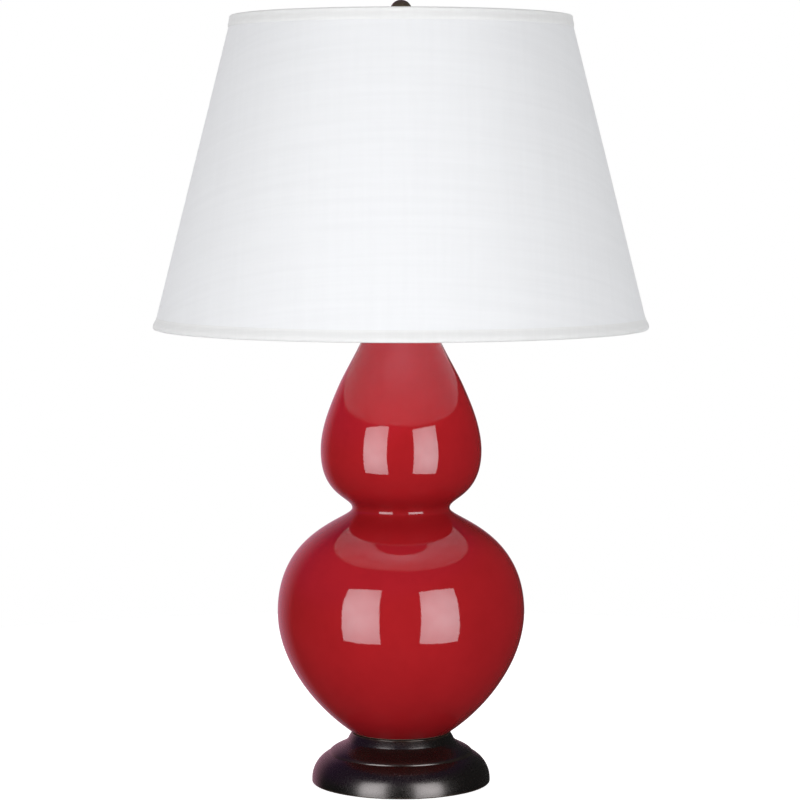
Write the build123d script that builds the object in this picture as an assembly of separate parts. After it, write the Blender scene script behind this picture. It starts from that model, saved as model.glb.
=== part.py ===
from build123d import *
from math import cos, pi, radians, sin, sqrt
import os

# Double gourd table lamp with a drum-cone shade.  Millimetres.
# +Z is up, the origin is the middle of the felt pad's underside, and the lamp faces -Y.

os.makedirs("parts", exist_ok=True)

# ---- fits and clearances -------------------------------------------------
GLUE_GAP = 0.06           # between pieces that are glued, crimped or screwed together
RUNNING_GAP = 0.05        # radial, a shaft in its own hole
PIPE_CLEAR = 0.45         # radial, plates threaded loosely over the lamp pipe
SEAT_GAP = 0.1            # between flat faces that turn on each other
COVER_CLEAR = 0.3         # radial, bottom cover in the base rim
WASHER_CLEAR = 0.3        # radial, washers and the spider's hub over their shafts
EDGE_BREAK = 0.5          # chamfer on turned fasteners

# ---- base: a two-tier bronze casting -------------------------------------
BASE_RIM_R = 90.2
BASE_RIM_LIFT = 0.3       # the rim stops short of the table, the felt carries the lamp
BASE_RIM_EDGE = 0.8
BASE_WALL = 3.0
BASE_PLATE = 3.0
BASE_HEIGHT = 50.5
DOME_R = 28.8             # radius of the big convex lower tier
DOME_SWEEP = 65.0         # degrees of that arc
TIER_SET_BACK = 0.9       # groove between the lower tier's dome and the upper tier
TIER_FOOT_RISE = 0.5
TIER_PULL_LOW = 3.1       # how long the upper tier's edge stays upright
TIER_PULL_HIGH = 6.2      # how long its top keeps its slope
TIER_SLOPE = 26.0         # degrees, of its top
TIER_TOP_Z = 38.7         # where its top turns hollow
TIER_STEP = 5.0           # from there in to the collar's foot
COVE_PULL = 1.8           # sweep of the hollow between tier and collar
COLLAR_FLARE = 4.1        # how much wider the collar is at its foot
COLLAR_FOOT_RISE = 3.9
COLLAR_PULL = 2.5         # how long the collar keeps that flare
COLLAR_LIP = 0.6          # how far the collar stands out under the ceramic foot

FELT_T = 1.5
FELT_INSET = 3.0
COVER_T = 1.5

WEIGHT_R = 42.0
WEIGHT_T = 14.0
WASHER_R = 12.0
WASHER_T = 1.6
LOCK_WASHER_R = 9.0
LOCK_WASHER_T = 1.8
LOCK_WASHER_SPLIT = 1.5
NUT_ACROSS_FLATS = 14.3
NUT_T = 4.8
NUT_CORNER_TRIM = 0.35    # turned off a nut's corners
PIPE_TAIL = 3.0           # pipe left standing out of the lower nut

INLET_BORE_R = 3.4        # the lead passes here
INLET_SLEEVE_WALL = 1.0
INLET_FLANGE_R = 5.6
INLET_FLANGE_T = 1.6
INLET_BOSS_MARGIN = 0.7
INLET_BOSS_DEPTH = 7.0
INLET_LIFT = 0.3          # the inlet's boss above the cover
INLET_TAIL = 1.5          # sleeve beyond the boss, inside the base

# ---- lamp pipe -----------------------------------------------------------
PIPE_R = 4.95
PIPE_BORE_R = 3.2

# ---- ceramic body --------------------------------------------------------
GASKET_T = 0.9
GASKET_INSET = 3.0
GOURD_WALL = 6.0
GOURD_FLOOR = 8.0
GOURD_HOLE_R = 7.0
GOURD_FOOT_R = 49.4
GOURD_FOOT_LEAN = 34.3    # degrees above level at which the belly leaves the foot
GOURD_FOOT_PULL = 52.0
GOURD_BELLY_R = 124.7
GOURD_BELLY_RISE = 122.4  # heights are above the foot
GOURD_BELLY_PULL_LOW = 45.1
GOURD_BELLY_PULL_HIGH = 82.8
GOURD_WAIST_R = 49.1
GOURD_WAIST_RISE = 227.6
GOURD_WAIST_PULL = 11.7
GOURD_CROWN_R = 81.0
GOURD_CROWN_RISE = 285.7
GOURD_CROWN_PULL_LOW = 45.9
GOURD_CROWN_PULL_HIGH = 22.4
GOURD_SHOULDER_R = 62.4
GOURD_SHOULDER_RISE = 351.7
GOURD_SHOULDER_LEAN = 23.9  # degrees off plumb, towards the axis
GOURD_SHOULDER_PULL = 23.3
GOURD_NECK_R = 28.0
GOURD_HEIGHT = 432.6
GOURD_NECK_PULL = 22.0
INNER_STEPS = 6           # points on the inner wall for each stretch of the outline

CAP_R = 31.0
CAP_T = 2.5
CAP_BOSS_R = 12.0
CAP_BOSS_T = 3.5
CAP_SPIGOT_CLEAR = 0.6
CAP_SPIGOT_DEPTH = 6.0
CAP_SPIGOT_WALL = 1.5
NECK_TUBE_R = 8.0
NECK_TUBE_LENGTH = 27.0

# ---- harp ----------------------------------------------------------------
SADDLE_T = 2.0
SADDLE_WIDTH = 12.0
SADDLE_ARM_WIDTH = 8.0
SADDLE_RISE = 14.0
SADDLE_BEND_R = 5.0
HARP_WIRE_R = 2.0
HARP_FOOT_X = 28.0
HARP_HALF_WIDTH = 60.0
HARP_HEIGHT = 222.0       # saddle arm to the middle of the top wire
HARP_LEG = 37.0           # straight foot of the harp, where the ferrule slides
HARP_KNEE_RISE = 44.0
HARP_SHOULDER_DROP = 87.0
HARP_TOP_HALF = 30.0
HARP_LEG_BEND = 25.0
HARP_KNEE_BEND = 45.0
HARP_SHOULDER_BEND = 60.0
HARP_TOP_BEND = 28.0
LAP_LENGTH = 8.0          # half-lap between saddle prong and harp foot
FERRULE_WALL = 1.3
FERRULE_LENGTH = 14.0
FERRULE_EDGE = 0.5
HARP_PAD_R = 7.0
HARP_PAD_T = 4.0
STUD_R = 3.1
STUD_HEAD_R = 5.2
STUD_HEAD_T = 1.8
STUD_SEAT_R = 8.0
STUD_SEAT_T = 1.5
STUD_REACH = 10.4         # thread standing above the spider hub's underside

# ---- socket --------------------------------------------------------------
LOCKNUT_T = 3.0
SOCKET_HUB_R = 8.0
SOCKET_HUB_T = 9.0
SOCKET_PIPE_GRIP = 8.0    # pipe inside the hub
SOCKET_CAP_RISE = 19.0    # cap foot to the top of its dome
SOCKET_CAP_SKIN = 0.8
SOCKET_CAP_LAP = 7.0      # cap's straight rim over the shell
SOCKET_SHELL_R = 17.0
SOCKET_SHELL_T = 0.6
SOCKET_SHELL_START = 2.0  # shell foot above the dome
SOCKET_SHELL_LENGTH = 47.0
SLEEVE_T = 0.6
SLEEVE_SETBACK = 1.0
CORE_RAISE = 0.5
CORE_T = 15.5
SCREW_SHELL_T = 0.6
SCREW_SHELL_LENGTH = 29.5
SCREW_SHELL_HOLE_R = 8.4
CONTACT_STRIP = (14.0, 5.0, 0.5)
CONTACT_BUTTON_R = 2.6
CONTACT_BUTTON_RISE = 2.3
TERMINAL_X = 8.0
TERMINAL_HEAD_R = 2.8
TERMINAL_HEAD_T = 1.6
TERMINAL_SHANK_R = 1.5
TERMINAL_DEPTH = 5.0
SET_SCREW_R = 1.5
SET_SCREW_HEAD_R = 2.0
SET_SCREW_HEAD_T = 1.4
SET_SCREW_Z = 2.9         # above the hub's foot

SWITCH_RAISE = 11.0       # stem axis above the core's foot
SWITCH_STEM_R = 1.9
SWITCH_BOSS_WALL = 1.1
SWITCH_BOSS_STANDOUT = 2.5
SWITCH_HOLE_CLEAR = 0.3
SWITCH_STEM_INSET = 8.0
KNOB_GAP = 2.0
KNOB_HUB_R = 4.4
KNOB_HUB_LENGTH = 9.0
KNOB_PADDLE_WIDTH = 15.0
KNOB_PADDLE_LENGTH = 14.0
KNOB_PADDLE_T = 2.6

# ---- bulb ----------------------------------------------------------------
BULB_CAP_R = 13.0
BULB_CAP_SKIN = 0.4
BULB_CAP_LENGTH = 23.0
BULB_TIP_R = 4.5
BULB_TIP_T = 1.5
BULB_INSULATOR_R = 10.0
BULB_INSULATOR_T = 3.0
BULB_GLASS_R = 33.5
BULB_GLASS_SKIN = 0.9
BULB_NECK_R = 14.5
BULB_NECK_RISE = 6.0
BULB_LENGTH = 133.0
BULB_GLASS_TUCK = 5.0     # glass inside the metal cap

# ---- shade ---------------------------------------------------------------
SHADE_TOP_R = 168.6
SHADE_BOTTOM_R = 247.4
SHADE_HEIGHT = 311.0
SHADE_SKIN = 0.6
LINER_SKIN = 0.6
TRIM_SKIN = 0.8
TRIM_WIDTH = 11.6
TRIM_TUCK = 6.0           # how far the trim turns up inside
RING_WIRE_R = 1.8
SPIDER_DROP = 12.4        # shade's top edge above the hub
SPIDER_HUB_R = 10.0
SPIDER_HUB_T = 2.4
SPIDER_ARMS = 3
SPIDER_ARM_R = 1.6
SPIDER_BEND_R = 30.0
SPIDER_RUN = 0.84         # share of the ring's radius at which an arm turns up

# ---- finial --------------------------------------------------------------
FINIAL_BALL_R = 11.0
FINIAL_FOOT_R = 7.0
FINIAL_FOOT_T = 2.0
FINIAL_NECK_R = 4.8
FINIAL_HEIGHT = 28.4
FINIAL_COVE = 1.2          # rise of the cove from foot to neck
FINIAL_BORE_DEPTH = 9.5

# ---- heights of the seats, from the table up -----------------------------
COVER_TOP = FELT_T + COVER_T
GOURD_FOOT_Z = BASE_HEIGHT + GASKET_T
GOURD_TOP_Z = GOURD_FOOT_Z + GOURD_HEIGHT
NECK_TUBE_Z = GOURD_TOP_Z + CAP_T + CAP_BOSS_T
SADDLE_Z = NECK_TUBE_Z + NECK_TUBE_LENGTH
LOCKNUT_Z = SADDLE_Z + SADDLE_T
SOCKET_Z = LOCKNUT_Z + LOCKNUT_T
DOME_TOP_Z = SOCKET_Z + SOCKET_CAP_RISE
SHELL_Z = DOME_TOP_Z + SOCKET_SHELL_START
CORE_Z = DOME_TOP_Z + CORE_RAISE
CORE_TOP = CORE_Z + CORE_T
PIPE_TOP = SOCKET_Z + SOCKET_PIPE_GRIP
PLATE_UNDER = BASE_HEIGHT - BASE_PLATE
WEIGHT_Z = PLATE_UNDER - WEIGHT_T
WASHER_Z = WEIGHT_Z - WASHER_T
LOCK_WASHER_Z = WASHER_Z - LOCK_WASHER_T
NUT_Z = LOCK_WASHER_Z - NUT_T
PIPE_FOOT = NUT_Z - PIPE_TAIL
SADDLE_ARM_TOP = SADDLE_Z + SADDLE_RISE
HARP_TOP_Z = SADDLE_ARM_TOP + HARP_HEIGHT
PAD_TOP = HARP_TOP_Z + HARP_PAD_T / 2
HUB_Z = PAD_TOP + SEAT_GAP + STUD_SEAT_T
HUB_TOP = HUB_Z + SPIDER_HUB_T
SHADE_TOP_Z = HUB_TOP + SPIDER_DROP
SHADE_BOTTOM_Z = SHADE_TOP_Z - SHADE_HEIGHT
TIP_Z = CORE_TOP + GLUE_GAP + CONTACT_BUTTON_RISE + SEAT_GAP
CAP_FOOT = TIP_Z + BULB_TIP_T + BULB_INSULATOR_T
CAP_TOP = CAP_FOOT + BULB_CAP_LENGTH
BULB_TOP = TIP_Z + BULB_LENGTH
KNOB_AXIS_Z = CORE_Z + SWITCH_RAISE

# ---- sizes that follow from a fit ----------------------------------------
HOLE_R = PIPE_R + PIPE_CLEAR
THREAD_R = PIPE_R + GLUE_GAP
SLEEVE_R = SOCKET_SHELL_R - SOCKET_SHELL_T - GLUE_GAP
CORE_R = SLEEVE_R - SLEEVE_T - GLUE_GAP
SCREW_SHELL_BORE = BULB_CAP_R + RUNNING_GAP
STUD_BORE = STUD_R + RUNNING_GAP
FERRULE_BORE = HARP_WIRE_R + RUNNING_GAP
COLLAR_TOP_R = GOURD_FOOT_R + COLLAR_LIP
COLLAR_FOOT_R = COLLAR_TOP_R + COLLAR_FLARE
TIER_TOP_R = COLLAR_FOOT_R + TIER_STEP


# ---- small helpers -------------------------------------------------------
def turned(edges):
    """Solid of revolution about Z of a closed outline drawn as (radius, height)."""
    return revolve(Plane.XZ * make_face(edges), Axis.Z)


def turned_polygon(*points):
    """The same, for an outline of straight edges."""
    return turned(Polyline(*points, close=True).edges())


def disc(radius, low, high, hole=0.0):
    """Round plate from low to high, with an optional hole."""
    height = high - low
    align = (Align.CENTER, Align.CENTER, Align.MIN)
    plate = Cylinder(radius, height, align=align)
    if hole > 0:
        plate -= Cylinder(hole, height, align=align)
    return Pos(0, 0, low) * plate


def outer_rims(piece, radius):
    """Circular edges of a piece that are wider than the radius."""
    return [edge for edge in piece.edges().filter_by(GeomType.CIRCLE) if edge.radius > radius]


def rod_y(radius, start, end, height, x=0.0):
    """Round bar along Y from start to end at the given height."""
    low, high = min(start, end), max(start, end)
    bar = Cylinder(radius, high - low)
    return Pos(x, (low + high) / 2, height) * Rot(90, 0, 0) * bar


def hexagon(across_flats, low, high, hole):
    """Hexagonal nut with its faces chamfered by a cone and a plain bore."""
    thickness = high - low
    nut = extrude(RegularPolygon(across_flats / 2, 6, major_radius=False), thickness)
    corner = across_flats / 2 / cos(pi / 6)
    at_foot = (Align.CENTER, Align.CENTER, Align.MIN)
    trim = Cylinder(corner - NUT_CORNER_TRIM, thickness, align=at_foot)
    trim = chamfer(trim.edges(), EDGE_BREAK)
    return Pos(0, 0, low) * (nut & trim) - disc(hole, low, high)


# ---- base ----------------------------------------------------------------
DOME_X = BASE_RIM_R - DOME_R


def dome_radius(height):
    """Radius of the lower tier's dome at a height."""
    return DOME_X + sqrt(DOME_R**2 - (height - COVER_TOP) ** 2)


def base_solid():
    """The base's outer form, filled."""
    edge_z = BASE_RIM_LIFT + BASE_RIM_EDGE
    rim = CenterArc((BASE_RIM_R - BASE_RIM_EDGE, edge_z), BASE_RIM_EDGE, -90, 90)
    side = Line((BASE_RIM_R, edge_z), (BASE_RIM_R, COVER_TOP))
    dome = CenterArc((DOME_X, COVER_TOP), DOME_R, 0, DOME_SWEEP)
    dome_end = dome @ 1
    groove = Line(dome_end, (dome_end.X - TIER_SET_BACK, dome_end.Y + TIER_FOOT_RISE))
    tier_foot = groove @ 1
    tier_top = Vector(TIER_TOP_R, TIER_TOP_Z)
    slope = Vector(cos(radians(TIER_SLOPE)), -sin(radians(TIER_SLOPE)))
    low_pull = tier_foot + Vector(0, TIER_PULL_LOW)
    high_pull = tier_top + slope * TIER_PULL_HIGH
    tier = Bezier(tier_foot, low_pull, high_pull, tier_top)
    collar_foot = Vector(COLLAR_FOOT_R, TIER_TOP_Z + COLLAR_FOOT_RISE)
    cove = Bezier(tier_top, tier_top - slope * COVE_PULL, collar_foot)
    waist = collar_foot + Vector(-COLLAR_FLARE / 4, COLLAR_PULL)
    collar = Bezier(collar_foot, waist, (COLLAR_TOP_R, BASE_HEIGHT))
    top = Line((COLLAR_TOP_R, BASE_HEIGHT), (0, BASE_HEIGHT))
    axis = Line((0, BASE_HEIGHT), (0, BASE_RIM_LIFT))
    foot = Line((0, BASE_RIM_LIFT), (BASE_RIM_R - BASE_RIM_EDGE, BASE_RIM_LIFT))
    return turned([rim, side, dome, groove, tier, cove, collar, top, axis, foot])


def base_cavity():
    """The hollow under the base."""
    inner_r = BASE_RIM_R - BASE_WALL
    arc = CenterArc((DOME_X, COVER_TOP), DOME_R - BASE_WALL, 0, DOME_SWEEP)
    neck = (COLLAR_FOOT_R - BASE_WALL, TIER_TOP_Z - BASE_WALL)
    throat = (COLLAR_TOP_R - BASE_WALL, PLATE_UNDER)
    shoulder = (TIER_TOP_R - BASE_WALL / 2, TIER_TOP_Z - 2 * BASE_WALL)
    rest = Polyline(arc @ 1, shoulder, neck, throat, (0, PLATE_UNDER))
    axis = Line((0, PLATE_UNDER), (0, 0))
    mouth = Polyline((0, 0), (inner_r, 0), (inner_r, COVER_TOP))
    return turned([arc, *rest.edges(), axis, *mouth.edges()])


INLET_BOSS_R = INLET_FLANGE_R + INLET_BOSS_MARGIN
INLET_Z = COVER_TOP + INLET_BOSS_R + INLET_LIFT
INLET_SLEEVE_R = INLET_BORE_R + INLET_SLEEVE_WALL
INLET_SPOT_R = INLET_FLANGE_R + 0.2
INLET_SPOT_Y = sqrt(dome_radius(INLET_Z + INLET_SPOT_R) ** 2 - INLET_SPOT_R**2) - 0.1
INLET_TAIL_Y = INLET_SPOT_Y - INLET_BOSS_DEPTH - INLET_TAIL


def base_foot():
    """Hollow casting with a boss behind the lead's inlet."""
    outer = base_solid()
    boss = rod_y(INLET_BOSS_R, INLET_SPOT_Y - INLET_BOSS_DEPTH, BASE_RIM_R, INLET_Z) & outer
    shell = outer - base_cavity() + boss
    shell -= rod_y(INLET_SPOT_R, INLET_SPOT_Y, BASE_RIM_R + 1, INLET_Z)
    shell -= rod_y(INLET_SLEEVE_R + GLUE_GAP, INLET_TAIL_Y, BASE_RIM_R + 1, INLET_Z)
    return shell - disc(HOLE_R, 0, BASE_HEIGHT + 1)


def cord_bushing():
    """Flanged sleeve that lines the inlet at the back."""
    flange_y = INLET_SPOT_Y + GLUE_GAP
    flange = rod_y(INLET_FLANGE_R, flange_y, flange_y + INLET_FLANGE_T, INLET_Z)
    outer_edge = flange.edges().filter_by(GeomType.CIRCLE).sort_by(Axis.Y)[-1]
    flange = fillet(outer_edge, INLET_FLANGE_T * 0.45)
    sleeve = rod_y(INLET_SLEEVE_R, INLET_TAIL_Y, flange_y + 0.2, INLET_Z)
    bore = rod_y(INLET_BORE_R, INLET_TAIL_Y - 1, flange_y + INLET_FLANGE_T + 1, INLET_Z)
    return flange + sleeve - bore


COVER_R = BASE_RIM_R - BASE_WALL - COVER_CLEAR


def base_weight():
    """Iron disc clamped under the base's top plate."""
    plate = disc(WEIGHT_R, WEIGHT_Z, PLATE_UNDER, HOLE_R)
    return chamfer(outer_rims(plate, HOLE_R * 2), 1.0)


def lock_washer():
    """Split spring washer."""
    ring = disc(LOCK_WASHER_R, LOCK_WASHER_Z, WASHER_Z, PIPE_R + WASHER_CLEAR)
    gap_reach = LOCK_WASHER_R + 1
    split = Box(gap_reach, LOCK_WASHER_SPLIT, 2 * LOCK_WASHER_T)
    middle = Pos(gap_reach / 2, 0, LOCK_WASHER_Z + LOCK_WASHER_T / 2)
    return ring - middle * Rot(35, 0, 0) * split


# ---- ceramic body --------------------------------------------------------
def gourd_outline():
    """Outer curve from foot to neck: upright at belly, waist, crown and neck."""
    z0 = GOURD_FOOT_Z
    foot = Vector(GOURD_FOOT_R, z0)
    belly = Vector(GOURD_BELLY_R, z0 + GOURD_BELLY_RISE)
    waist = Vector(GOURD_WAIST_R, z0 + GOURD_WAIST_RISE)
    crown = Vector(GOURD_CROWN_R, z0 + GOURD_CROWN_RISE)
    shoulder = Vector(GOURD_SHOULDER_R, z0 + GOURD_SHOULDER_RISE)
    neck = Vector(GOURD_NECK_R, GOURD_TOP_Z)
    up = Vector(0, 1)
    foot_lean = Vector(cos(radians(GOURD_FOOT_LEAN)), sin(radians(GOURD_FOOT_LEAN)))
    lean = Vector(-sin(radians(GOURD_SHOULDER_LEAN)), cos(radians(GOURD_SHOULDER_LEAN)))

    def stretch(start, leave, end, arrive):
        return Bezier(start, start + leave, end - arrive, end)

    return [
        stretch(foot, foot_lean * GOURD_FOOT_PULL, belly, up * GOURD_BELLY_PULL_LOW),
        stretch(belly, up * GOURD_BELLY_PULL_HIGH, waist, up * GOURD_WAIST_PULL),
        stretch(waist, up * GOURD_WAIST_PULL, crown, up * GOURD_CROWN_PULL_LOW),
        stretch(crown, up * GOURD_CROWN_PULL_HIGH, shoulder, lean * GOURD_SHOULDER_PULL),
        stretch(shoulder, lean * GOURD_SHOULDER_PULL, neck, up * GOURD_NECK_PULL),
    ]


def gourd_inner_curve(outline):
    """The outline set in by the wall, square to itself at every point."""
    points = []
    for edge in outline:
        for step in range(INNER_STEPS):
            share = step / INNER_STEPS
            along = edge % share
            points.append(edge @ share + Vector(-along.Y, along.X) * GOURD_WALL)
    points.append(outline[-1] @ 1 - Vector(GOURD_WALL, 0))
    return Spline(*points)


def gourd_body():
    """Hollow double gourd with a pierced floor."""
    outline = gourd_outline()
    top = Line((GOURD_NECK_R, GOURD_TOP_Z), (0, GOURD_TOP_Z))
    foot = Line((0, GOURD_FOOT_Z), (GOURD_FOOT_R, GOURD_FOOT_Z))
    body = turned([*outline, top, Line(top @ 1, foot @ 0), foot])
    inner = gourd_inner_curve(outline)
    first, last = inner @ 0, inner @ 1
    close = Polyline(last, (last.X, GOURD_TOP_Z + 1), (0, GOURD_TOP_Z + 1), (0, first.Y), first)
    cavity = turned([inner, *close.edges()])
    cavity -= disc(GOURD_BELLY_R, GOURD_FOOT_Z - GOURD_WALL, GOURD_FOOT_Z + GOURD_FLOOR)
    return body - cavity - disc(GOURD_HOLE_R, GOURD_FOOT_Z - 1, GOURD_FOOT_Z + GOURD_FLOOR + 1)


def vase_cap():
    """Flanged cap that centres on the neck's mouth."""
    spigot_r = GOURD_NECK_R - GOURD_WALL - CAP_SPIGOT_CLEAR
    z = GOURD_TOP_Z
    roof = disc(CAP_R, z, z + CAP_T)
    roof = fillet(roof.edges().sort_by(Axis.Z)[-1], CAP_T * 0.7)
    boss = disc(CAP_BOSS_R, z + CAP_T - 0.2, z + CAP_T + CAP_BOSS_T)
    boss = fillet(boss.edges().sort_by(Axis.Z)[-1], CAP_BOSS_T / 2)
    spigot = disc(spigot_r, z - CAP_SPIGOT_DEPTH, z + 0.2, spigot_r - CAP_SPIGOT_WALL)
    return roof + boss + spigot - disc(HOLE_R, z - 1, z + CAP_T + CAP_BOSS_T + 1)


# ---- harp ----------------------------------------------------------------
def harp_saddle():
    """Bent strip on the pipe, its two arms ending in half-round prongs."""
    half = HARP_FOOT_X
    z = SADDLE_Z + SADDLE_T / 2
    top = SADDLE_ARM_TOP
    path = FilletPolyline((-half, top), (-half, z), (half, z), (half, top), radius=SADDLE_BEND_R)
    strip = Plane.XZ * offset(path, SADDLE_T / 2, side=Side.BOTH)
    strip = extrude(make_face(strip.edges()), SADDLE_WIDTH / 2, both=True)
    strip -= Pos(0, 0, top + SADDLE_T) * Box(4 * half, 2 * SADDLE_WIDTH, 2 * SADDLE_T)
    arm_cut = Box(4 * half, SADDLE_WIDTH, top - z)
    for side in (-1, 1):
        middle = Pos(0, side * (SADDLE_ARM_WIDTH + SADDLE_WIDTH) / 2, (top + z) / 2 + SADDLE_BEND_R)
        strip -= middle * arm_cut
    prongs = [prong(side * half, side) for side in (-1, 1)]
    return strip + prongs - disc(HOLE_R, SADDLE_Z - 1, LOCKNUT_Z + 1)


def prong(x, side):
    """Inner half of a round pin, standing on a saddle arm."""
    length = LAP_LENGTH + 0.2
    pin = Pos(x, 0, SADDLE_ARM_TOP - 0.2) * Cylinder(
        HARP_WIRE_R, length, align=(Align.CENTER, Align.CENTER, Align.MIN)
    )
    outer_half = Pos(x + side * HARP_WIRE_R, 0, SADDLE_ARM_TOP + length / 2)
    return pin - outer_half * Box(2 * HARP_WIRE_R, 3 * HARP_WIRE_R, 3 * length)


def harp_wire():
    """Wire loop with straight feet, and a flat pad on top for the stud."""
    foot = SADDLE_ARM_TOP + GLUE_GAP
    leg_top = SADDLE_ARM_TOP + HARP_LEG
    shoulder_z = HARP_TOP_Z - HARP_SHOULDER_DROP
    right = [
        (HARP_FOOT_X, foot),
        (HARP_FOOT_X, leg_top),
        (HARP_HALF_WIDTH, leg_top + HARP_KNEE_RISE),
        (HARP_HALF_WIDTH, shoulder_z),
        (HARP_TOP_HALF, HARP_TOP_Z),
    ]
    left = [(-x, z) for x, z in reversed(right)]
    bends = [HARP_LEG_BEND, HARP_KNEE_BEND, HARP_SHOULDER_BEND, HARP_TOP_BEND]
    path = FilletPolyline(*right, *left, radius=[*bends, *reversed(bends)])
    path = Plane.XZ * path
    wire = sweep(Plane.XY.offset(foot) * Pos(HARP_FOOT_X, 0) * Circle(HARP_WIRE_R), path)
    for side in (-1, 1):
        lap = Box(2 * HARP_WIRE_R, 3 * HARP_WIRE_R, LAP_LENGTH + GLUE_GAP)
        inner_x = side * (HARP_FOOT_X - HARP_WIRE_R + GLUE_GAP)
        wire -= Pos(inner_x, 0, SADDLE_ARM_TOP + (LAP_LENGTH + GLUE_GAP) / 2) * lap
    pad = disc(HARP_PAD_R, PAD_TOP - HARP_PAD_T, PAD_TOP)
    return wire + pad - disc(STUD_BORE, PAD_TOP - HARP_PAD_T - 1, PAD_TOP + 1)


def ferrule(side):
    """Sleeve that slides down over the half-lap and locks it."""
    bottom = SADDLE_ARM_TOP + SEAT_GAP
    top = bottom + FERRULE_LENGTH
    outer = disc(FERRULE_BORE + FERRULE_WALL, bottom, top)
    outer = fillet(outer.edges().filter_by(GeomType.CIRCLE), FERRULE_EDGE)
    return Pos(side * HARP_FOOT_X, 0, 0) * (outer - disc(FERRULE_BORE, bottom - 1, top + 1))


def harp_stud():
    """Swivelling stud: riveted head, shank through the pad, seat and thread."""
    pad_foot = PAD_TOP - HARP_PAD_T
    head = disc(STUD_HEAD_R, pad_foot - SEAT_GAP - STUD_HEAD_T, pad_foot - SEAT_GAP)
    head = fillet(head.edges().sort_by(Axis.Z)[0], STUD_HEAD_T * 0.6)
    seat = disc(STUD_SEAT_R, PAD_TOP + SEAT_GAP, HUB_Z)
    shank = disc(STUD_R, pad_foot - SEAT_GAP - 0.5, HUB_Z + STUD_REACH)
    return head + seat + chamfer(shank.edges().sort_by(Axis.Z)[-1], EDGE_BREAK)


# ---- socket --------------------------------------------------------------
def socket_cap():
    """Spun cap: threaded hub, dome, and a straight rim over the shell."""
    outer_r = SOCKET_SHELL_R + GLUE_GAP + SOCKET_CAP_SKIN
    inner_r = SOCKET_SHELL_R + GLUE_GAP
    hub_top = SOCKET_Z + SOCKET_HUB_T
    rim = DOME_TOP_Z + SOCKET_CAP_LAP
    dome_foot = SOCKET_Z + SOCKET_HUB_T * 0.6
    skin = SOCKET_CAP_SKIN
    out = Bezier((SOCKET_HUB_R, dome_foot), (outer_r, dome_foot), (outer_r, DOME_TOP_Z))
    back = Bezier((inner_r, DOME_TOP_Z), (inner_r, dome_foot + skin * 2), (SOCKET_HUB_R - skin, hub_top))
    lines = [
        Line((THREAD_R, SOCKET_Z), (SOCKET_HUB_R, SOCKET_Z)),
        Line((SOCKET_HUB_R, SOCKET_Z), (SOCKET_HUB_R, dome_foot)),
        out,
        Line((outer_r, DOME_TOP_Z), (outer_r, rim)),
        Line((outer_r, rim), (inner_r, rim)),
        Line((inner_r, rim), (inner_r, DOME_TOP_Z)),
        back,
        Line((SOCKET_HUB_R - skin, hub_top), (THREAD_R, hub_top)),
        Line((THREAD_R, hub_top), (THREAD_R, SOCKET_Z)),
    ]
    hole = rod_y(SET_SCREW_R + GLUE_GAP, 0, SOCKET_HUB_R + 0.5, SOCKET_Z + SET_SCREW_Z)
    return turned(lines) - hole


def set_screw():
    """Screw in the cap's hub that stops it from turning on the pipe."""
    z = SOCKET_Z + SET_SCREW_Z
    shank = rod_y(SET_SCREW_R, PIPE_R + GLUE_GAP, SOCKET_HUB_R + 0.2, z)
    seat = SOCKET_HUB_R + GLUE_GAP
    head = rod_y(SET_SCREW_HEAD_R, seat, seat + SET_SCREW_HEAD_T, z)
    slot = Pos(0, seat + SET_SCREW_HEAD_T, z) * Box(6, 1.0, 0.6)
    return shank + head - slot


def stem_hole(radius):
    """Cutter for the switch stem's way out to the front."""
    return rod_y(radius, -CORE_R / 2, -SOCKET_SHELL_R - 5, KNOB_AXIS_Z)


SWITCH_BORE = SWITCH_STEM_R + RUNNING_GAP
SWITCH_BOSS_R = SWITCH_BORE + SWITCH_BOSS_WALL


def socket_shell():
    """Outer brass shell with a hole for the switch's boss and a rolled rim."""
    top = SHELL_Z + SOCKET_SHELL_LENGTH
    tube = disc(SOCKET_SHELL_R, SHELL_Z, top, SOCKET_SHELL_R - SOCKET_SHELL_T)
    bead = Pos(0, 0, top - 1.2) * Torus(SOCKET_SHELL_R, 0.6)
    inside = disc(SOCKET_SHELL_R - SOCKET_SHELL_T, SHELL_Z - 1, top + 1)
    return tube + (bead - inside) - stem_hole(SWITCH_BOSS_R + SWITCH_HOLE_CLEAR)


def socket_insulator():
    """Card sleeve that lines the shell."""
    top = SHELL_Z + SOCKET_SHELL_LENGTH - SLEEVE_SETBACK
    tube = disc(SLEEVE_R, SHELL_Z, top, SLEEVE_R - SLEEVE_T)
    return tube - stem_hole(SWITCH_BOSS_R + SWITCH_HOLE_CLEAR)


def socket_core():
    """Moulded block that holds the terminals, the contacts and the switch."""
    block = disc(CORE_R, CORE_Z, CORE_TOP)
    boss_end = -SOCKET_SHELL_R - SWITCH_BOSS_STANDOUT
    block += rod_y(SWITCH_BOSS_R, -CORE_R / 2, boss_end, KNOB_AXIS_Z)
    block -= rod_y(SWITCH_BORE, -SWITCH_STEM_INSET + SEAT_GAP, boss_end - 1, KNOB_AXIS_Z)
    for side in (-1, 1):
        hole = disc(TERMINAL_SHANK_R + GLUE_GAP, CORE_Z - 1, CORE_Z + TERMINAL_DEPTH + GLUE_GAP)
        block -= Pos(side * TERMINAL_X, 0, 0) * hole
    return block


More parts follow.
